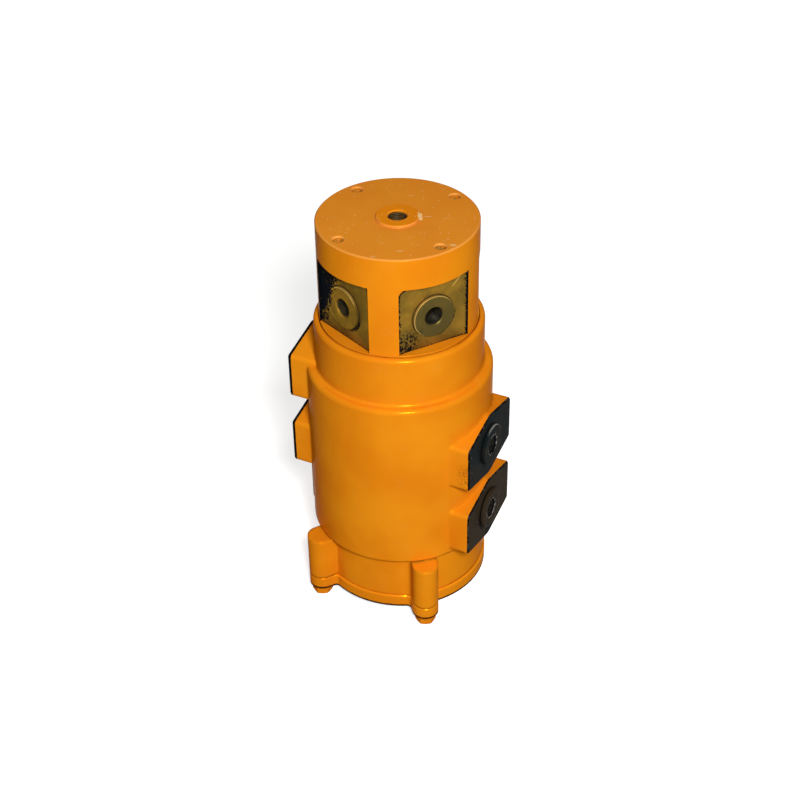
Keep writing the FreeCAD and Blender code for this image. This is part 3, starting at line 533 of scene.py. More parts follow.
def blackened(graph, spot, bare, inside):
    """Colour of the port faces: black and brown, with scuffs, painted glints and edges pale with a painted
    highlight.
    """
    lower = graph.times(graph.step(spot.from_middle, 4.0, -4.0), 0.45)
    brown = graph.times(graph.plus(graph.noise(26, 3.0, shift=40), lower), 0.9)
    dark = graph.mix(graph.step(brown, 0.35, 0.95), FACE_DARK, FACE_BROWN)
    scuffs = graph.both(graph.patches(0.6, 0.7, 4.2, 5.0, 0.7, shift=61),
                        graph.patches(0.45, 0.6, 20, 2.0, shift=2))
    dark = graph.laid(dark, FACE_EDGE_AND_HIGHLIGHT, scuffs, 0.2)
    # Painted glints: pale dots scattered over the faces
    dark = graph.laid(dark, BARE_STEEL_AND_GLINT, graph.dots(8.5, 0.09, 0.05, shift=11), 0.75)
    dark = graph.mix(graph.step(spot.depth, -0.1, -0.4), dark, BLACKING_AND_SHADE)
    # Painted highlight: the chamfer of each face on the right is pale in patches
    edge = graph.both(bare, graph.step(spot.depth, -0.05, -0.35), spot.on_right,
                      graph.patches(0.5, 0.62, 5, 3.0, shift=77))
    dark = graph.laid(dark, FACE_EDGE_AND_HIGHLIGHT, edge, 0.45)

    # Painted shade, with oil and dirt, darkens the foot of each ring and the ports
    ring_foot_shade = graph.both(graph.near(spot.radius, RING_RADIUS + 0.4, 0.6, 0.7), spot.on_face)
    dark = graph.laid(dark, BLACKING_AND_SHADE, ring_foot_shade, 0.85)
    dark = graph.laid(dark, BLACKING_AND_SHADE, inside, 0.9)

    # Each ring has a painted highlight along its far edge, painted glints at its mouth, and painted shade
    # at its near foot
    far_edge_highlight = graph.both(graph.near(spot.radius, RING_RADIUS - 0.5, 0.35, 0.4), spot.on_ring,
                          graph.step(graph.plus(spot.rise, spot.across), 4.0, 24.0))
    dark = graph.laid(dark, BARE_STEEL_AND_GLINT, far_edge_highlight, 0.85)
    shade = graph.both(graph.near(spot.radius, RING_RADIUS + 1.6, 1.6, 0.8), spot.on_face,
                       graph.step(graph.plus(spot.across, graph.times(spot.rise, 0.3)), -4.0, -14.0))
    dark = graph.laid(dark, BLACKING_AND_SHADE, shade, 0.9)
    mouth = graph.both(graph.near(spot.radius, MOUTH_RADIUS + 0.5, 0.7, 0.6), spot.on_ring,
                       graph.patches(0.5, 0.58, 4, 2.0, shift=15))
    return graph.laid(dark, BARE_STEEL_AND_GLINT, mouth, 0.8)


def housing_paint():
    """Orange paint with bare, blackened port faces and softly rounded bosses and foot."""
    graph = Graph("housing_paint")
    base, rough, height = paint(graph, cast=0.35)
    spot = BossPlace(graph)
    base = housing_dirt_and_shade(graph, spot, base)
    bare, inside = unpainted(graph, spot)
    dark = blackened(graph, spot, bare, inside)
    bare_rough = graph.blend(graph.noise(7, 4.0, shift=9), 0.3, 0.52)
    turning_marks = graph.times(graph.math("SINE", graph.times(spot.radius, 7.0)), 0.006)

    at_root = graph.both(graph.step(spot.out, *BOSS_ROOT),
                         graph.step(spot.out, FACE_DISTANCE - 2, FACE_DISTANCE - 6))
    at_foot = graph.both(graph.step(spot.z, STEP + 1, STEP - 1),
                         graph.step(spot.from_axis, FLANGE_RADIUS - 1, FLANGE_RADIUS + 2))
    soft = graph.both(graph.either(at_root, at_foot), graph.inverse(bare))
    relief = graph.blend(bare, height, turning_marks)
    normal = graph.bumped(relief, HOUSING_EDGE, soft, HOUSING_SOFT_EDGE)
    paint_surface = painted(graph, base, rough, normal)
    bare_surface = graph.surface(dark, bare_rough, normal, specular=FACE_SPECULAR, tint=DULL_SHINE)
    return graph.finish(graph.joined(bare, paint_surface, bare_surface))


def cover_paint():
    """Orange paint with a painted black shadow line along the lower edge."""
    graph = Graph("cover_paint")
    base, rough, height = paint(graph, cast=0.2)
    wander = graph.times(graph.minus(graph.noise(9, 3.0, shift=29), 0.5), 1.6)
    wandering = graph.plus(graph.axes()[2], wander)
    # Painted shadow: a black line just above the lower edge
    low = graph.step(wandering, COVER_BOTTOM + 4.0, COVER_BOTTOM + 3.6)
    base = graph.laid(base, BLACKING_AND_SHADE, low, 0.92)
    return graph.finish(painted(graph, base, rough, graph.bumped(height, PAINT_EDGE)))


class FlatPlace:
    """Where a place on the head lies, seen from the milled flat that it is nearest to."""

    def __init__(self, graph):
        self.x, self.y, self.z = graph.axes()
        pitch = math.radians(FLAT_PITCH)
        bearing = graph.math("ARCTAN2", self.x, graph.times(self.y, -1.0))
        past_first = graph.minus(bearing, math.radians(FLAT_BEARING))
        turned = graph.math("WRAP", past_first, math.tau - pitch / 2, -pitch / 2)
        self.number = graph.math("FLOOR", graph.plus(graph.math("DIVIDE", turned, pitch), 0.5))
        local = graph.minus(turned, graph.times(self.number, pitch))
        self.reach = graph.length(self.x, self.y)
        out = graph.times(self.reach, graph.math("COSINE", local))
        self.depth = graph.minus(out, FLAT_DISTANCE)
        self.across = graph.times(self.reach, graph.math("SINE", local))
        self.beside = graph.unsigned(self.across)
        self.rise = graph.minus(self.z, HEAD_PORT)
        self.radius = graph.length(self.rise, self.across)
        self.on_first = graph.near(self.number, 0.0, 0.3, 0.1)
        self.on_second = graph.near(self.number, 1.0, 0.3, 0.1)
        self.on_face = graph.near(self.depth, 0.0, 0.35, 0.4)
        self.flakes = graph.noise(2.2, 4.0, 0.65, shift=81)
        self.clouds = graph.noise(9, 4.0, 0.6, shift=44)


def milled(graph, spot):
    """1 where the surface lies deep enough for a flat, between its ledge and its top."""
    level = graph.both(graph.step(spot.z, LEDGE + 0.05, LEDGE + 0.3),
                       graph.step(spot.z, FLAT_TOP - 0.05, FLAT_TOP - 0.3))
    sunk = graph.step(spot.depth, RING_HEIGHT + 0.4, RING_HEIGHT + 0.2)
    within = graph.step(spot.beside, FLAT_HALF_WIDTH + 0.2, FLAT_HALF_WIDTH)
    has_flat = graph.step(spot.number, FLAT_COUNT - 0.4, FLAT_COUNT - 0.6)
    return graph.both(level, sunk, within, has_flat)


def rounded_corner(graph, spot):
    """Two masks at the upper left corner of the second flat: past its round, and from its border on."""
    past_side = graph.minus(spot.beside, FLAT_HALF_WIDTH - CORNER)
    past_top = graph.minus(spot.z, FLAT_TOP - CORNER_DROP - CORNER)
    from_middle = graph.length(past_side, past_top)
    at_corner = graph.both(spot.on_second, graph.step(past_side, 0.0, 0.3), graph.step(past_top, 0.0, 0.3),
                           graph.step(spot.across, 1.0, -1.0))
    past = graph.both(at_corner, graph.step(from_middle, CORNER - 0.5, CORNER - 0.1))
    border = graph.both(at_corner, graph.step(from_middle, CORNER - 2.2, CORNER - 1.8))
    return past, border


def flat_black(graph, spot, border):
    """How black the flats are: along the edges, in flakes, over the left of the first, and with painted
    shade at the foot of each ring.
    """
    flakes = spot.flakes
    to_side = graph.minus(FLAT_HALF_WIDTH, spot.beside)
    to_top = graph.minus(FLAT_TOP, spot.z)
    to_ledge = graph.minus(spot.z, LEDGE)
    to_edge = graph.math("MINIMUM", to_side, graph.math("MINIMUM", to_top, to_ledge))
    at_right = graph.both(spot.on_second, graph.step(spot.across, FLAT_END, FLAT_END + FLAT_END_SOFT))
    at_left = graph.both(spot.on_second, graph.step(spot.across, -FLAT_END, -FLAT_END - FLAT_END_SOFT))
    flaking = graph.blend(at_left, graph.blend(at_right, FLAKES, FLAKES_RIGHT), FLAKES_LEFT)
    ragged = graph.minus(to_edge, graph.times(graph.minus(flakes, 0.42), flaking))
    edge = graph.step(ragged, 1.0, 0.6)

    slanted = graph.minus(spot.across, graph.times(spot.rise, LEFT_SLANT))
    uneven = graph.plus(graph.times(graph.minus(flakes, 0.5), 2.4),
                        graph.times(graph.minus(spot.clouds, 0.5), 1.4))
    left = graph.step(graph.plus(graph.step(slanted, -4.0, -34.0), uneven), 0.5, 0.58)
    lower_corner = graph.both(spot.on_second, graph.step(spot.across, -10.0, -24.0),
                              graph.step(spot.z, LEDGE + 30, LEDGE + 14), graph.step(flakes, 0.47, 0.52))
    side_dots = graph.both(spot.on_second, graph.step(flakes, 0.42, 0.48),
                           graph.step(spot.across, 2.8 - FLAT_HALF_WIDTH, 1.8 - FLAT_HALF_WIDTH))

    smudges = graph.both(graph.step(spot.clouds, 0.62, 0.7), graph.step(flakes, 0.5, 0.6))
    # Painted shade at the foot of each ring
    ring_foot_shade = graph.both(graph.near(spot.radius, RING_RADIUS + 0.3, 0.3, 0.5), spot.on_face)
    below_ring = graph.both(graph.near(spot.radius, RING_RADIUS + 1.4, 1.5, 1.0), spot.on_face,
                            graph.step(spot.rise, 4.0, -10.0), graph.step(spot.across, 2.0, 12.0),
                            graph.step(flakes, 0.4, 0.5))
    return graph.either(edge, graph.both(left, spot.on_first), lower_corner, graph.times(smudges, 0.6),
                        graph.times(ring_foot_shade, 0.8), below_ring, border, side_dots)


def flat_metal(graph, spot, black):
    """Colour of the flats: gold and olive, a greener ring on the second, and blacking."""
    tone = graph.plus(graph.noise(30, 3.0, 0.55, shift=23),
                      graph.times(graph.noise(5.5, 4.0, 0.6, shift=66), 0.3))
    metal = graph.mix(graph.step(tone, 0.45, 0.85), FLAT_OLIVE_AND_SHADE, FLAT_GOLD)
    on_ring = graph.both(graph.step(spot.radius, RING_RADIUS + 0.2, RING_RADIUS),
                         graph.step(spot.depth, 0.5, 1.0))
    metal = graph.laid(metal, RING_GREEN, graph.both(on_ring, spot.on_second), 0.75)

    # Each ring's upper left rim has a painted highlight, and a gash in the second flat is bright
    lit_rim = graph.both(on_ring, graph.near(spot.radius, RING_RADIUS - 0.4, 0.35, 0.4),
                         graph.step(graph.minus(spot.rise, spot.across), -12.0, 10.0))
    slanted = graph.minus(spot.across, graph.times(spot.rise, GASH_SLANT))
    gash = graph.both(spot.on_second, graph.near(slanted, GASH_PLACE, 0.5, 0.5),
                      graph.step(spot.rise, GASH_LOW - 1, GASH_LOW + 1),
                      graph.step(spot.rise, GASH_HIGH + 1, GASH_HIGH - 1))
    metal = graph.laid(metal, RIM_GOLD_AND_HIGHLIGHT, graph.either(lit_rim, gash), 0.8)

    # The bores are darkened inside: painted shade, with oil
    blue = graph.mix(graph.step(spot.clouds, 0.45, 0.6), BLACKING_AND_SHADE, BLUE_BLACKING_AND_SHADE)
    metal = graph.mix(black, metal, blue)
    inside = graph.both(graph.step(spot.radius, BORE_RADIUS + 0.5, BORE_RADIUS + 0.05),
                        graph.step(spot.depth, RING_HEIGHT - 0.4, RING_HEIGHT - 4.0))
    return graph.mix(graph.times(inside, graph.blend(spot.on_first, 0.92, 0.45)), metal, blue)


def hole_distance(graph):
    """Distance to the axis of the nearest of the four tapped holes in the top."""
    out, across = graph.along(TOP_HOLE_BEARING)
    one = graph.unsigned(out)
    two = graph.unsigned(across)
    away = graph.minus(graph.math("MAXIMUM", one, two), TOP_HOLE_CIRCLE)
    return graph.length(away, graph.math("MINIMUM", one, two))


def worn_top(graph, spot, base):
    """The paint's colour with dust, nicks and scratches on the top, painted highlights on its edges, and
    painted shade in its holes.
    """
    on_top = graph.step(spot.z, HEAD_TOP - 0.6, HEAD_TOP - 0.2)
    nicks = graph.both(on_top, graph.dots(5.5, 0.13, 0.07, shift=21),
                       graph.patches(0.42, 0.48, 14, 2.0, shift=33))
    scratches = graph.both(on_top, graph.patches(0.66, 0.7, 7, 2.0, shift=13, stretch=(0.12, 1.0, 1.0)),
                           graph.patches(0.5, 0.6, 15, 2.0, shift=3))
    chip = graph.both(on_top, graph.near(spot.x, TOP_RING_RADIUS + 0.2, 1.5, 1.0),
                      graph.near(spot.y, 0.0, 5.0, 2.5), graph.step(spot.flakes, 0.36, 0.44))
    at_hole = graph.step(hole_distance(graph), TOP_HOLE_MOUTH + 0.5, TOP_HOLE_MOUTH + 0.1)
    # Painted highlights on the mouths of the holes, the top's outer edge and the ring's edge
    mouth_highlights = graph.both(at_hole, graph.step(spot.z, HEAD_TOP - 2.2, HEAD_TOP - 1.4))
    outer_edge_highlight = graph.both(graph.step(spot.z, HEAD_TOP - 1.8, HEAD_TOP - 1.2),
                            graph.step(spot.reach, HEAD_RADIUS - 1.8, HEAD_RADIUS - 1.2))
    ring_edge_highlight = graph.both(graph.near(spot.reach, TOP_RING_RADIUS - 0.1, 0.3, 0.2), on_top)
    wear_and_highlights = graph.either(graph.times(nicks, 0.85), graph.times(scratches, 0.5), chip,
                        graph.times(mouth_highlights, 0.15), graph.times(outer_edge_highlight, 0.12),
                        graph.times(ring_edge_highlight, 0.15))
    dusty = graph.both(on_top, graph.step(spot.reach, TOP_RING_RADIUS, TOP_RING_RADIUS + 0.6))
    base = graph.laid(base, PAINT_DUSTY, dusty, 0.4)
    base = graph.mix(wear_and_highlights, base, PAINT_WORN_AND_HIGHLIGHT)

    # Painted shade in the holes and in the port
    in_hole = graph.both(at_hole, graph.step(spot.z, HEAD_TOP - 1.6, HEAD_TOP - 2.6),
                         graph.step(spot.z, HEAD_TOP - 40, HEAD_TOP - 39))
    ring_top = HEAD_TOP + TOP_RING_HEIGHT
    in_port = graph.both(graph.step(spot.reach, BORE_RADIUS + 0.5, BORE_RADIUS + 0.1),
                         graph.step(spot.z, ring_top - 0.6, ring_top - 2.4))
    dark = graph.either(graph.times(in_port, 0.85), graph.times(in_hole, 0.5))
    return graph.mix(dark, base, FLAT_OLIVE_AND_SHADE)


def stem_paint():
    """Orange paint with bare golden flats that carry the head's ports."""
    graph = Graph("stem_paint")
    base, rough, height = paint(graph, cast=0.05)
    spot = FlatPlace(graph)
    base = worn_top(graph, spot, base)
    past_corner, corner_border = rounded_corner(graph, spot)
    bare = graph.both(milled(graph, spot), graph.inverse(past_corner))
    black = flat_black(graph, spot, corner_border)
    metal = flat_metal(graph, spot, black)

    metallic = graph.times(graph.inverse(black), FLAT_METALLIC)
    bare_rough = graph.blend(graph.noise(6, 3.0, shift=19), 0.36, 0.55)
    marks = graph.times(graph.noise(1.2, 2.0, shift=70, stretch=(0.2, 0.2, 1.0)), 0.03)
    relief = graph.blend(bare, height, graph.plus(marks, graph.times(black, 0.05)))
    normal = graph.bumped(relief, HEAD_EDGE)
    paint_surface = painted(graph, base, rough, normal)
    bare_surface = graph.surface(metal, bare_rough, normal, metallic, specular=FLAT_SPECULAR,
                                 tint=DULL_SHINE)
    return graph.finish(graph.joined(bare, paint_surface, bare_surface))


def plain_metal(name, tint, deep, rough_low, rough_high):
    """Turned metal with fine circular tool marks about the axis."""
    graph = Graph(name)
    x, y, z = graph.axes()
    lines = graph.math("SINE", graph.times(graph.plus(graph.length(x, y), z), 9.0))
    base = graph.mix(graph.patches(0.35, 0.7, 12, 4.0, 0.6), tint, deep)
    rough = graph.blend(graph.noise(5, 3.0, shift=8), rough_low, rough_high)
    normal = graph.bumped(graph.times(lines, 0.004), 0.4)
    return graph.finish(graph.surface(base, rough, normal, metallic=1.0))


def plain_soft(name, tint, pale, rough):
    """Moulded rubber or plastic with a faint grain and a little dust."""
    graph = Graph(name)
    base = graph.laid(tint, pale, graph.patches(0.5, 0.8, 4, 4.0, 0.65), 0.25)
    wander = graph.blend(graph.noise(3, 3.0, shift=5), rough - 0.08, rough + 0.08)
    normal = graph.bumped(graph.times(graph.noise(0.7, 2.0), 0.02), 0.3)
    return graph.finish(graph.surface(base, wander, normal))


def thread_finish(name, base_colours, noise_size, full, roughness, metallic):
    """The surface inside a tapped hole, between two colours."""
    graph = Graph(name)
    base = graph.mix(graph.patches(0.4, full, noise_size, 3.0), *base_colours)
    rough = graph.blend(graph.noise(3, 3.0, shift=4), *roughness)
    grain = graph.bumped(graph.times(graph.noise(0.8, 2.0), 0.01), 0.15)
    return graph.finish(graph.surface(base, rough, grain, metallic, specular=0.1))


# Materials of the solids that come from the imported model

ORANGE = plain_paint("cast_paint", cast=0.3)
STEEL = plain_metal("turned_steel", BARE_STEEL_AND_GLINT, FACE_EDGE_AND_HIGHLIGHT, 0.25, 0.42)
BRASS = plain_metal("turned_bronze", BRONZE, FLAT_GOLD, 0.28, 0.45)
PLASTIC = plain_soft("seal_plastic", PTFE, PAINT_WORN_AND_HIGHLIGHT, 0.45)
SOFT = plain_soft("seal_rubber", RUBBER, FACE_EDGE_AND_HIGHLIGHT, 0.6)

# The threads: oily steel in the ports, darkened further as painted shade, and paint dulled with dirt in
# the holes of the top

THREAD = thread_finish("thread_steel", (OIL_AND_SHADE, BLACKING_AND_SHADE), 5, 0.7, (0.3, 0.5), 0.4)
PAINTED_THREAD = thread_finish("thread_painted", (FLAT_GOLD, PAINT_DEEP), 3, 0.65, (0.35, 0.55), 0.0)

FINISHES = {"orange_paint": ORANGE, "steel": STEEL, "bronze": BRASS, "ptfe": PLASTIC, "rubber": SOFT}
OWN_FINISH = {"housing": housing_paint(), "stem": stem_paint(), "bottom_cover": cover_paint()}

for entry in frame["record"]["subparts"]:
    name = entry["node"]
    finish = OWN_FINISH.get(name, FINISHES[entry["material_slot"]])
    node = frame["nodes"][name]
    if not node.material_slots:
        node.data.materials.append(finish)
    for place in node.material_slots:
        place.material = finish


def direction(bearing):
    """The unit vector outwards along a bearing."""
    angle = math.radians(bearing)
    return Vector((math.sin(angle), -math.cos(angle), 0))


def angle_between(one, other):
    """The angle between two bearings, without its sign."""
    return abs((one - other + 180) % 360 - 180)


def new_mesh(name, points, faces):
    """A mesh from points in millimetres."""
    mesh = bpy.data.meshes.new(name)
    mesh.from_pydata([point * MM for point in points], [], faces)
    mesh.validate()
    return mesh


def turn_outwards(mesh):
    """Turn the faces of a mesh of plain solids outwards."""
    turning = bmesh.new()
    turning.from_mesh(mesh)
    bmesh.ops.recalc_face_normals(turning, faces=turning.faces)
    turning.to_mesh(mesh)
    turning.free()


def riding_piece(name, mesh, body, material):
    """A piece that rides on a body."""
    mesh.materials.append(material)
    piece = bpy.data.objects.new(name, mesh)
    bpy.context.scene.collection.objects.link(piece)
    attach(piece, body)
    return piece


# The cover with blended and chamfered ears, and the fillets beside the long lugs

def stacked(levels, shift=0):
    """Points and faces of a closed solid through outlines of equal length, from the bottom up.

    A level is one outline, or an outline and the outlines of holes that run through all levels.
    """
    loops = [level if isinstance(level[0], list) else [level] for level in levels]
    points = [point for level in loops for loop in level for point in loop]
    per_level = sum(len(loop) for loop in loops[0])
    last = shift + (len(loops) - 1) * per_level
    faces = []
    for corners in tessellate_polygon(loops[0]):
        faces.append(tuple(shift + corner for corner in corners))
        faces.append(tuple(last + corner for corner in reversed(corners)))
    for storey in range(len(loops) - 1):
        low = shift + storey * per_level
        for loop in loops[0]:
            high = low + per_level
            for corner in range(len(loop)):
                after = (corner + 1) % len(loop)
                faces.append((low + corner, low + after, high + after, high + corner))
            low += len(loop)
    return points, faces


def solid_piece(name, shells, body, material):
    """A piece of one or more closed solids, each given as its stacked outlines."""
    points = []
    faces = []
    for levels in shells:
        more_points, more_faces = stacked(levels, len(points))
        points += more_points
        faces += more_faces
    mesh = new_mesh(name, points, faces)
    turn_outwards(mesh)
    return riding_piece(name, mesh, body, material)


def fillet_middle(round_radius, half_width, fillet):
    """Where a fillet between a round wall and a straight flank has its middle: outwards, aside."""
    aside = half_width + fillet
    return math.sqrt((round_radius + fillet) ** 2 - aside ** 2), aside


def cover_reach(bearing, inset):
    """How far the cover's outline, drawn in by an inset, lies from the axis at a bearing."""
    reach = COVER_RADIUS - inset
    half = EAR_RADIUS - inset
    fillet = EAR_BLEND + inset
    fillet_out, fillet_aside = fillet_middle(COVER_RADIUS, EAR_RADIUS, EAR_BLEND)
    for ear in LUG_BEARINGS:
        off = angle_between(bearing, ear)
        if off > EAR_SPREAD:
            continue
        sine = math.sin(math.radians(off))
        cosine = math.cos(math.radians(off))
        aside = EAR_CIRCLE * sine
        turn = math.atan2(fillet_aside, fillet_out) - math.radians(off)
        fillet_far = math.hypot(fillet_out, fillet_aside)
        past_fillet = fillet_far * math.sin(turn)
        if aside <= half:
            # The round nose of the ear
            reach = max(reach, EAR_CIRCLE * cosine + math.sqrt(half ** 2 - aside ** 2))
        elif half * cosine / sine >= fillet_out:
            # Its straight flank
            reach = max(reach, half / sine)
        elif turn > 0 and past_fillet < fillet:
            # The fillet between flank and plate
            reach = max(reach, fillet_far * math.cos(turn) - math.sqrt(fillet ** 2 - past_fillet ** 2))
    return reach


def cover_bearings():
    """Bearings of the outline's corners, closer together at the ears."""
    bearings = set()
    for bearing in PLATE_CORNERS:
        if all(angle_between(bearing, ear) > EAR_SPREAD for ear in LUG_BEARINGS):
            bearings.add(float(bearing))
    for ear in LUG_BEARINGS:
        for off in NOSE_STEPS + FLANK_STEPS + [-step for step in FLANK_STEPS]:
            bearings.add(round((ear + off) % 360, 4))
    return sorted(bearings)


def cover_level(height, inset):
    """The cover's outline at a height, with the holes in its ears."""
    lift = UP * height
    level = [[direction(bearing) * cover_reach(bearing, inset) + lift for bearing in cover_bearings()]]
    for ear in LUG_BEARINGS:
        middle = direction(ear) * LUG_CIRCLE + lift
        level.append([middle + direction(turn) * EAR_HOLE_RADIUS for turn in HOLE_CORNERS])
    return level


def ring_level(height, radius):
    """A circle about the axis at a height."""
    return [direction(bearing) * radius + UP * height for bearing in SPIGOT_CORNERS]


plate = [cover_level(COVER_BOTTOM, COVER_CHAMFER), cover_level(COVER_BOTTOM + COVER_CHAMFER, 0),
         cover_level(COVER_TOP - COVER_CHAMFER, 0), cover_level(COVER_TOP, COVER_CHAMFER)]
spigot = [ring_level(COVER_TOP - SPIGOT_SINK, SPIGOT_RADIUS), ring_level(GROOVE_BOTTOM, SPIGOT_RADIUS),
          ring_level(GROOVE_BOTTOM, GROOVE_RADIUS), ring_level(GROOVE_TOP, GROOVE_RADIUS),
          ring_level(GROOVE_TOP, SPIGOT_RADIUS), ring_level(SPIGOT_TOP, SPIGOT_RADIUS)]
cover = solid_piece("cover_with_ears", [plate, spigot], "housing_body",
                    OWN_FINISH["bottom_cover"])
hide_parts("bottom_cover")


def blend_level(bearing, side, height, inset):
    """The corner between a lug and the round wall at a height, filled up to a hollow arc."""
    out = direction(bearing)
    across = direction(bearing + 90) * side
    middle_out, middle_aside = fillet_middle(FLANGE_RADIUS, LUG_RADIUS, LUG_BLEND)
    start = -math.pi / 2
    end = math.atan2(-middle_aside, -middle_out)
    hollow = LUG_BLEND + inset
    in_lug = LUG_RADIUS - BLEND_SINK
    spots = [(middle_out, in_lug)]
    for step in range(BLEND_STEPS + 1):
        angle = start + (end - start) * step / BLEND_STEPS
        spots.append((middle_out + hollow * math.cos(angle), middle_aside + hollow * math.sin(angle)))
    spots.append((spots[-1][0] - BLEND_SINK, spots[-1][1]))
    spots.append((FLANGE_RADIUS - BLEND_WALL_SINK, in_lug))
    if side < 0:
        spots.reverse()
    return [out * spot[0] + across * spot[1] + UP * height for spot in spots]


# Heights of the fillets' outlines, and how much hollower they are there
BLEND_FADE = ((COVER_TOP + 0.5, 0.0), (LUG_TOP - 4, 0.0), (LUG_TOP - 2, 0.4), (LUG_TOP - 0.8, 1.2))

for index, bearing in enumerate(LONG_LUGS, 1):
    for side, side_name in ((1, "right"), (-1, "left")):
        levels = [blend_level(bearing, side, height, inset) for height, inset in BLEND_FADE]
        solid_piece(f"lug_blend_{index}_{side_name}", [levels], "housing_body", ORANGE)


# Threads, as separate pieces in the bores

def thread(name, body, mouth, outwards, bore, pitch, lead_in, material, slot):
    """A helical ridge in a bore. The mouth is the middle of the bore's outer end."""
    ridge = pitch * RIDGE_DEPTH
    half_width = pitch * RIDGE_HALF_WIDTH
    root = bore + RIDGE_SINK
    side = outwards.orthogonal().normalized()
    other = outwards.cross(side)
    fade_steps = THREAD_STEPS * 0.5
    last = THREAD_TURNS * THREAD_STEPS
    points = []
    for step in range(last + 1):
        angle = math.tau * step / THREAD_STEPS
        travel = lead_in + pitch * (0.5 + step / THREAD_STEPS)
        around = side * math.cos(angle) + other * math.sin(angle)
        fade = min(1.0, step / fade_steps, (last - step) / fade_steps)
        crest = root - (ridge + RIDGE_SINK) * fade
        for along, radius in ((-half_width, root), (0.0, crest), (half_width, root)):
            points.append(mouth - outwards * (travel + along) + around * radius)
    faces = [(0, 1, 2), (last * 3, last * 3 + 2, last * 3 + 1)]
    for step in range(last):
        here = step * 3
        there = here + 3
        for corner in range(3):
            after = (corner + 1) % 3
            faces.append((here + corner, there + corner, there + after, here + after))
    riding_piece(name, new_mesh(name, points, faces), body, material)


HALF_INCH = (BORE_RADIUS, HALF_INCH_PITCH, LEAD_IN, THREAD, "steel")

thread("thread_head_top", "stem_body", UP * (HEAD_TOP + TOP_RING_HEIGHT), UP, *HALF_INCH)

for index in range(FLAT_COUNT):
    outwards = direction(FLAT_BEARING + FLAT_PITCH * index)
    mouth = outwards * (FLAT_DISTANCE + RING_HEIGHT) + UP * HEAD_PORT
    thread(f"thread_flat_{index + 1}", "stem_body", mouth, outwards, *HALF_INCH)

for side_name, bearing, middle in (("right", FACE_BEARING, RIGHT_MIDDLE),
                                   ("left", FACE_BEARING + 180, LEFT_MIDDLE)):
    outwards = direction(bearing)
    for place_name, shift in (("lower", -HALF_PITCH), ("upper", HALF_PITCH)):
        mouth = outwards * (FACE_DISTANCE + RING_HEIGHT) + UP * (middle + shift)
        thread(f"thread_{side_name}_{place_name}", "housing_body", mouth, outwards, *HALF_INCH)

outwards = direction(FACE_BEARING + 180)
mouth = outwards * (FACE_DISTANCE + DRAIN_RING_HEIGHT) + UP * DRAIN_LEVEL
thread("thread_drain", "housing_body", mouth, outwards,
       DRAIN_BORE_RADIUS, DRAIN_PITCH, DRAIN_LEAD_IN, THREAD, "steel")

for index in range(TOP_HOLE_COUNT):
    bearing = TOP_HOLE_BEARING + 360 / TOP_HOLE_COUNT * index
    mouth = direction(bearing) * TOP_HOLE_CIRCLE + UP * HEAD_TOP
    thread(f"thread_top_hole_{index + 1}", "stem_body", mouth, UP,
           TOP_HOLE_RADIUS, M12_PITCH, LEAD_IN, PAINTED_THREAD, "orange_paint")


# Floor and surroundings

def seen_directly(graph):
    """1 for what the camera sees itself, in a mirror or through glass, and 0 for light on the object."""
    rays = graph.add("LightPath")
    seen = graph.math("MAXIMUM", rays.outputs["Is Camera Ray"], rays.outputs["Is Glossy Ray"])
    return graph.math("MAXIMUM", seen, rays.outputs["Is Transmission Ray"])


def floor_material():
    """White where it is seen, and a matt grey for the light that it throws back."""
    graph = Graph("white_floor")
    bounce = graph.add("BsdfDiffuse", {"Color": FLOOR_BOUNCE})
    matt = graph.add("BsdfDiffuse", {"Color": FLOOR})
    glow = graph.add("Emission", {"Color": WHITE, "Strength": FLOOR_GLOW})
    pale = graph.add("AddShader")
    graph.feed(pale.inputs[0], matt.outputs[0])
    graph.feed(pale.inputs[1], glow.outputs[0])
    return graph.finish(graph.joined(seen_directly(graph), bounce.outputs[0], pale.outputs[0]))


def floor_corner(step):
    """A corner of the floor's rim, in metres."""
    angle = math.tau * step / FLOOR_CORNERS
    return (FLOOR_RADIUS * math.cos(angle), FLOOR_RADIUS * math.sin(angle), 0)


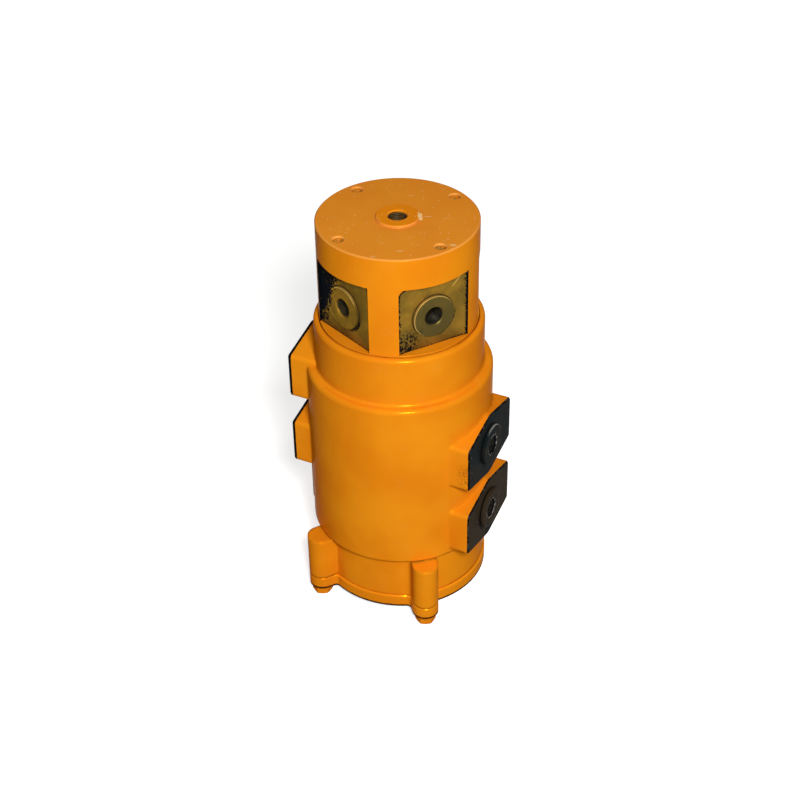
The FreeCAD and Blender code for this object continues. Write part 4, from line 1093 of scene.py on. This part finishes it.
floor_corners = [floor_corner(step) for step in range(FLOOR_CORNERS)]
floor_mesh = bpy.data.meshes.new("floor")
floor_mesh.from_pydata(floor_corners, [], [tuple(range(FLOOR_CORNERS))])
floor_mesh.materials.append(floor_material())
floor = bpy.data.objects.new("floor", floor_mesh)
bpy.context.scene.collection.objects.link(floor)


def white_world():
    """White where it is seen, and dim as a light."""
    graph = Graph("studio", "worlds")
    strength = graph.blend(seen_directly(graph), WORLD_LIGHT, 1.0)
    background = graph.add("Background", {"Color": WHITE, "Strength": strength})
    return graph.finish(background.outputs[0], "OutputWorld")


bpy.context.scene.world = white_world()
bpy.context.scene.view_settings.view_transform = "Standard"


# Lamps

def lamp(name, bearing, elevation, distance, size, power):
    """A round lamp that looks at the middle of the part. Its distance and size are in metres."""
    level = math.cos(math.radians(elevation))
    back = direction(bearing) * level + UP * math.sin(math.radians(elevation))
    data = bpy.data.lights.new(name, "AREA")
    data.shape = "DISK"
    data.size = size
    data.energy = power
    light = bpy.data.objects.new(name, data)
    light.location = TARGET * MM + back * distance
    light.rotation_euler = back.to_track_quat("Z", "Y").to_euler()
    bpy.context.scene.collection.objects.link(light)
    return light


lamp("key", bearing=8, elevation=40, distance=2.2, size=0.4, power=47)
back_lamp = lamp("back", bearing=182, elevation=12, distance=2.6, size=1.2, power=13)
back_lamp.visible_glossy = False


# Camera

ahead = Vector((0, math.cos(TILT), -math.sin(TILT)))
right = Vector((1, 0, 0))
above = right.cross(ahead)
turned_right = right * math.cos(ROLL) + above * math.sin(ROLL)
turned_up = above * math.cos(ROLL) - right * math.sin(ROLL)
camera_data = bpy.data.cameras.new("camera")
camera_data.sensor_width = SENSOR
camera_data.lens = FOCAL / IMAGE * SENSOR
camera_data.clip_end = SIGHT
camera = bpy.data.objects.new("camera", camera_data)
facing = Matrix((turned_right, turned_up, -ahead)).transposed().to_4x4()
camera.matrix_world = Matrix.Translation((TARGET - ahead * DISTANCE) * MM) @ facing
bpy.context.scene.collection.objects.link(camera)
bpy.context.scene.camera = camera
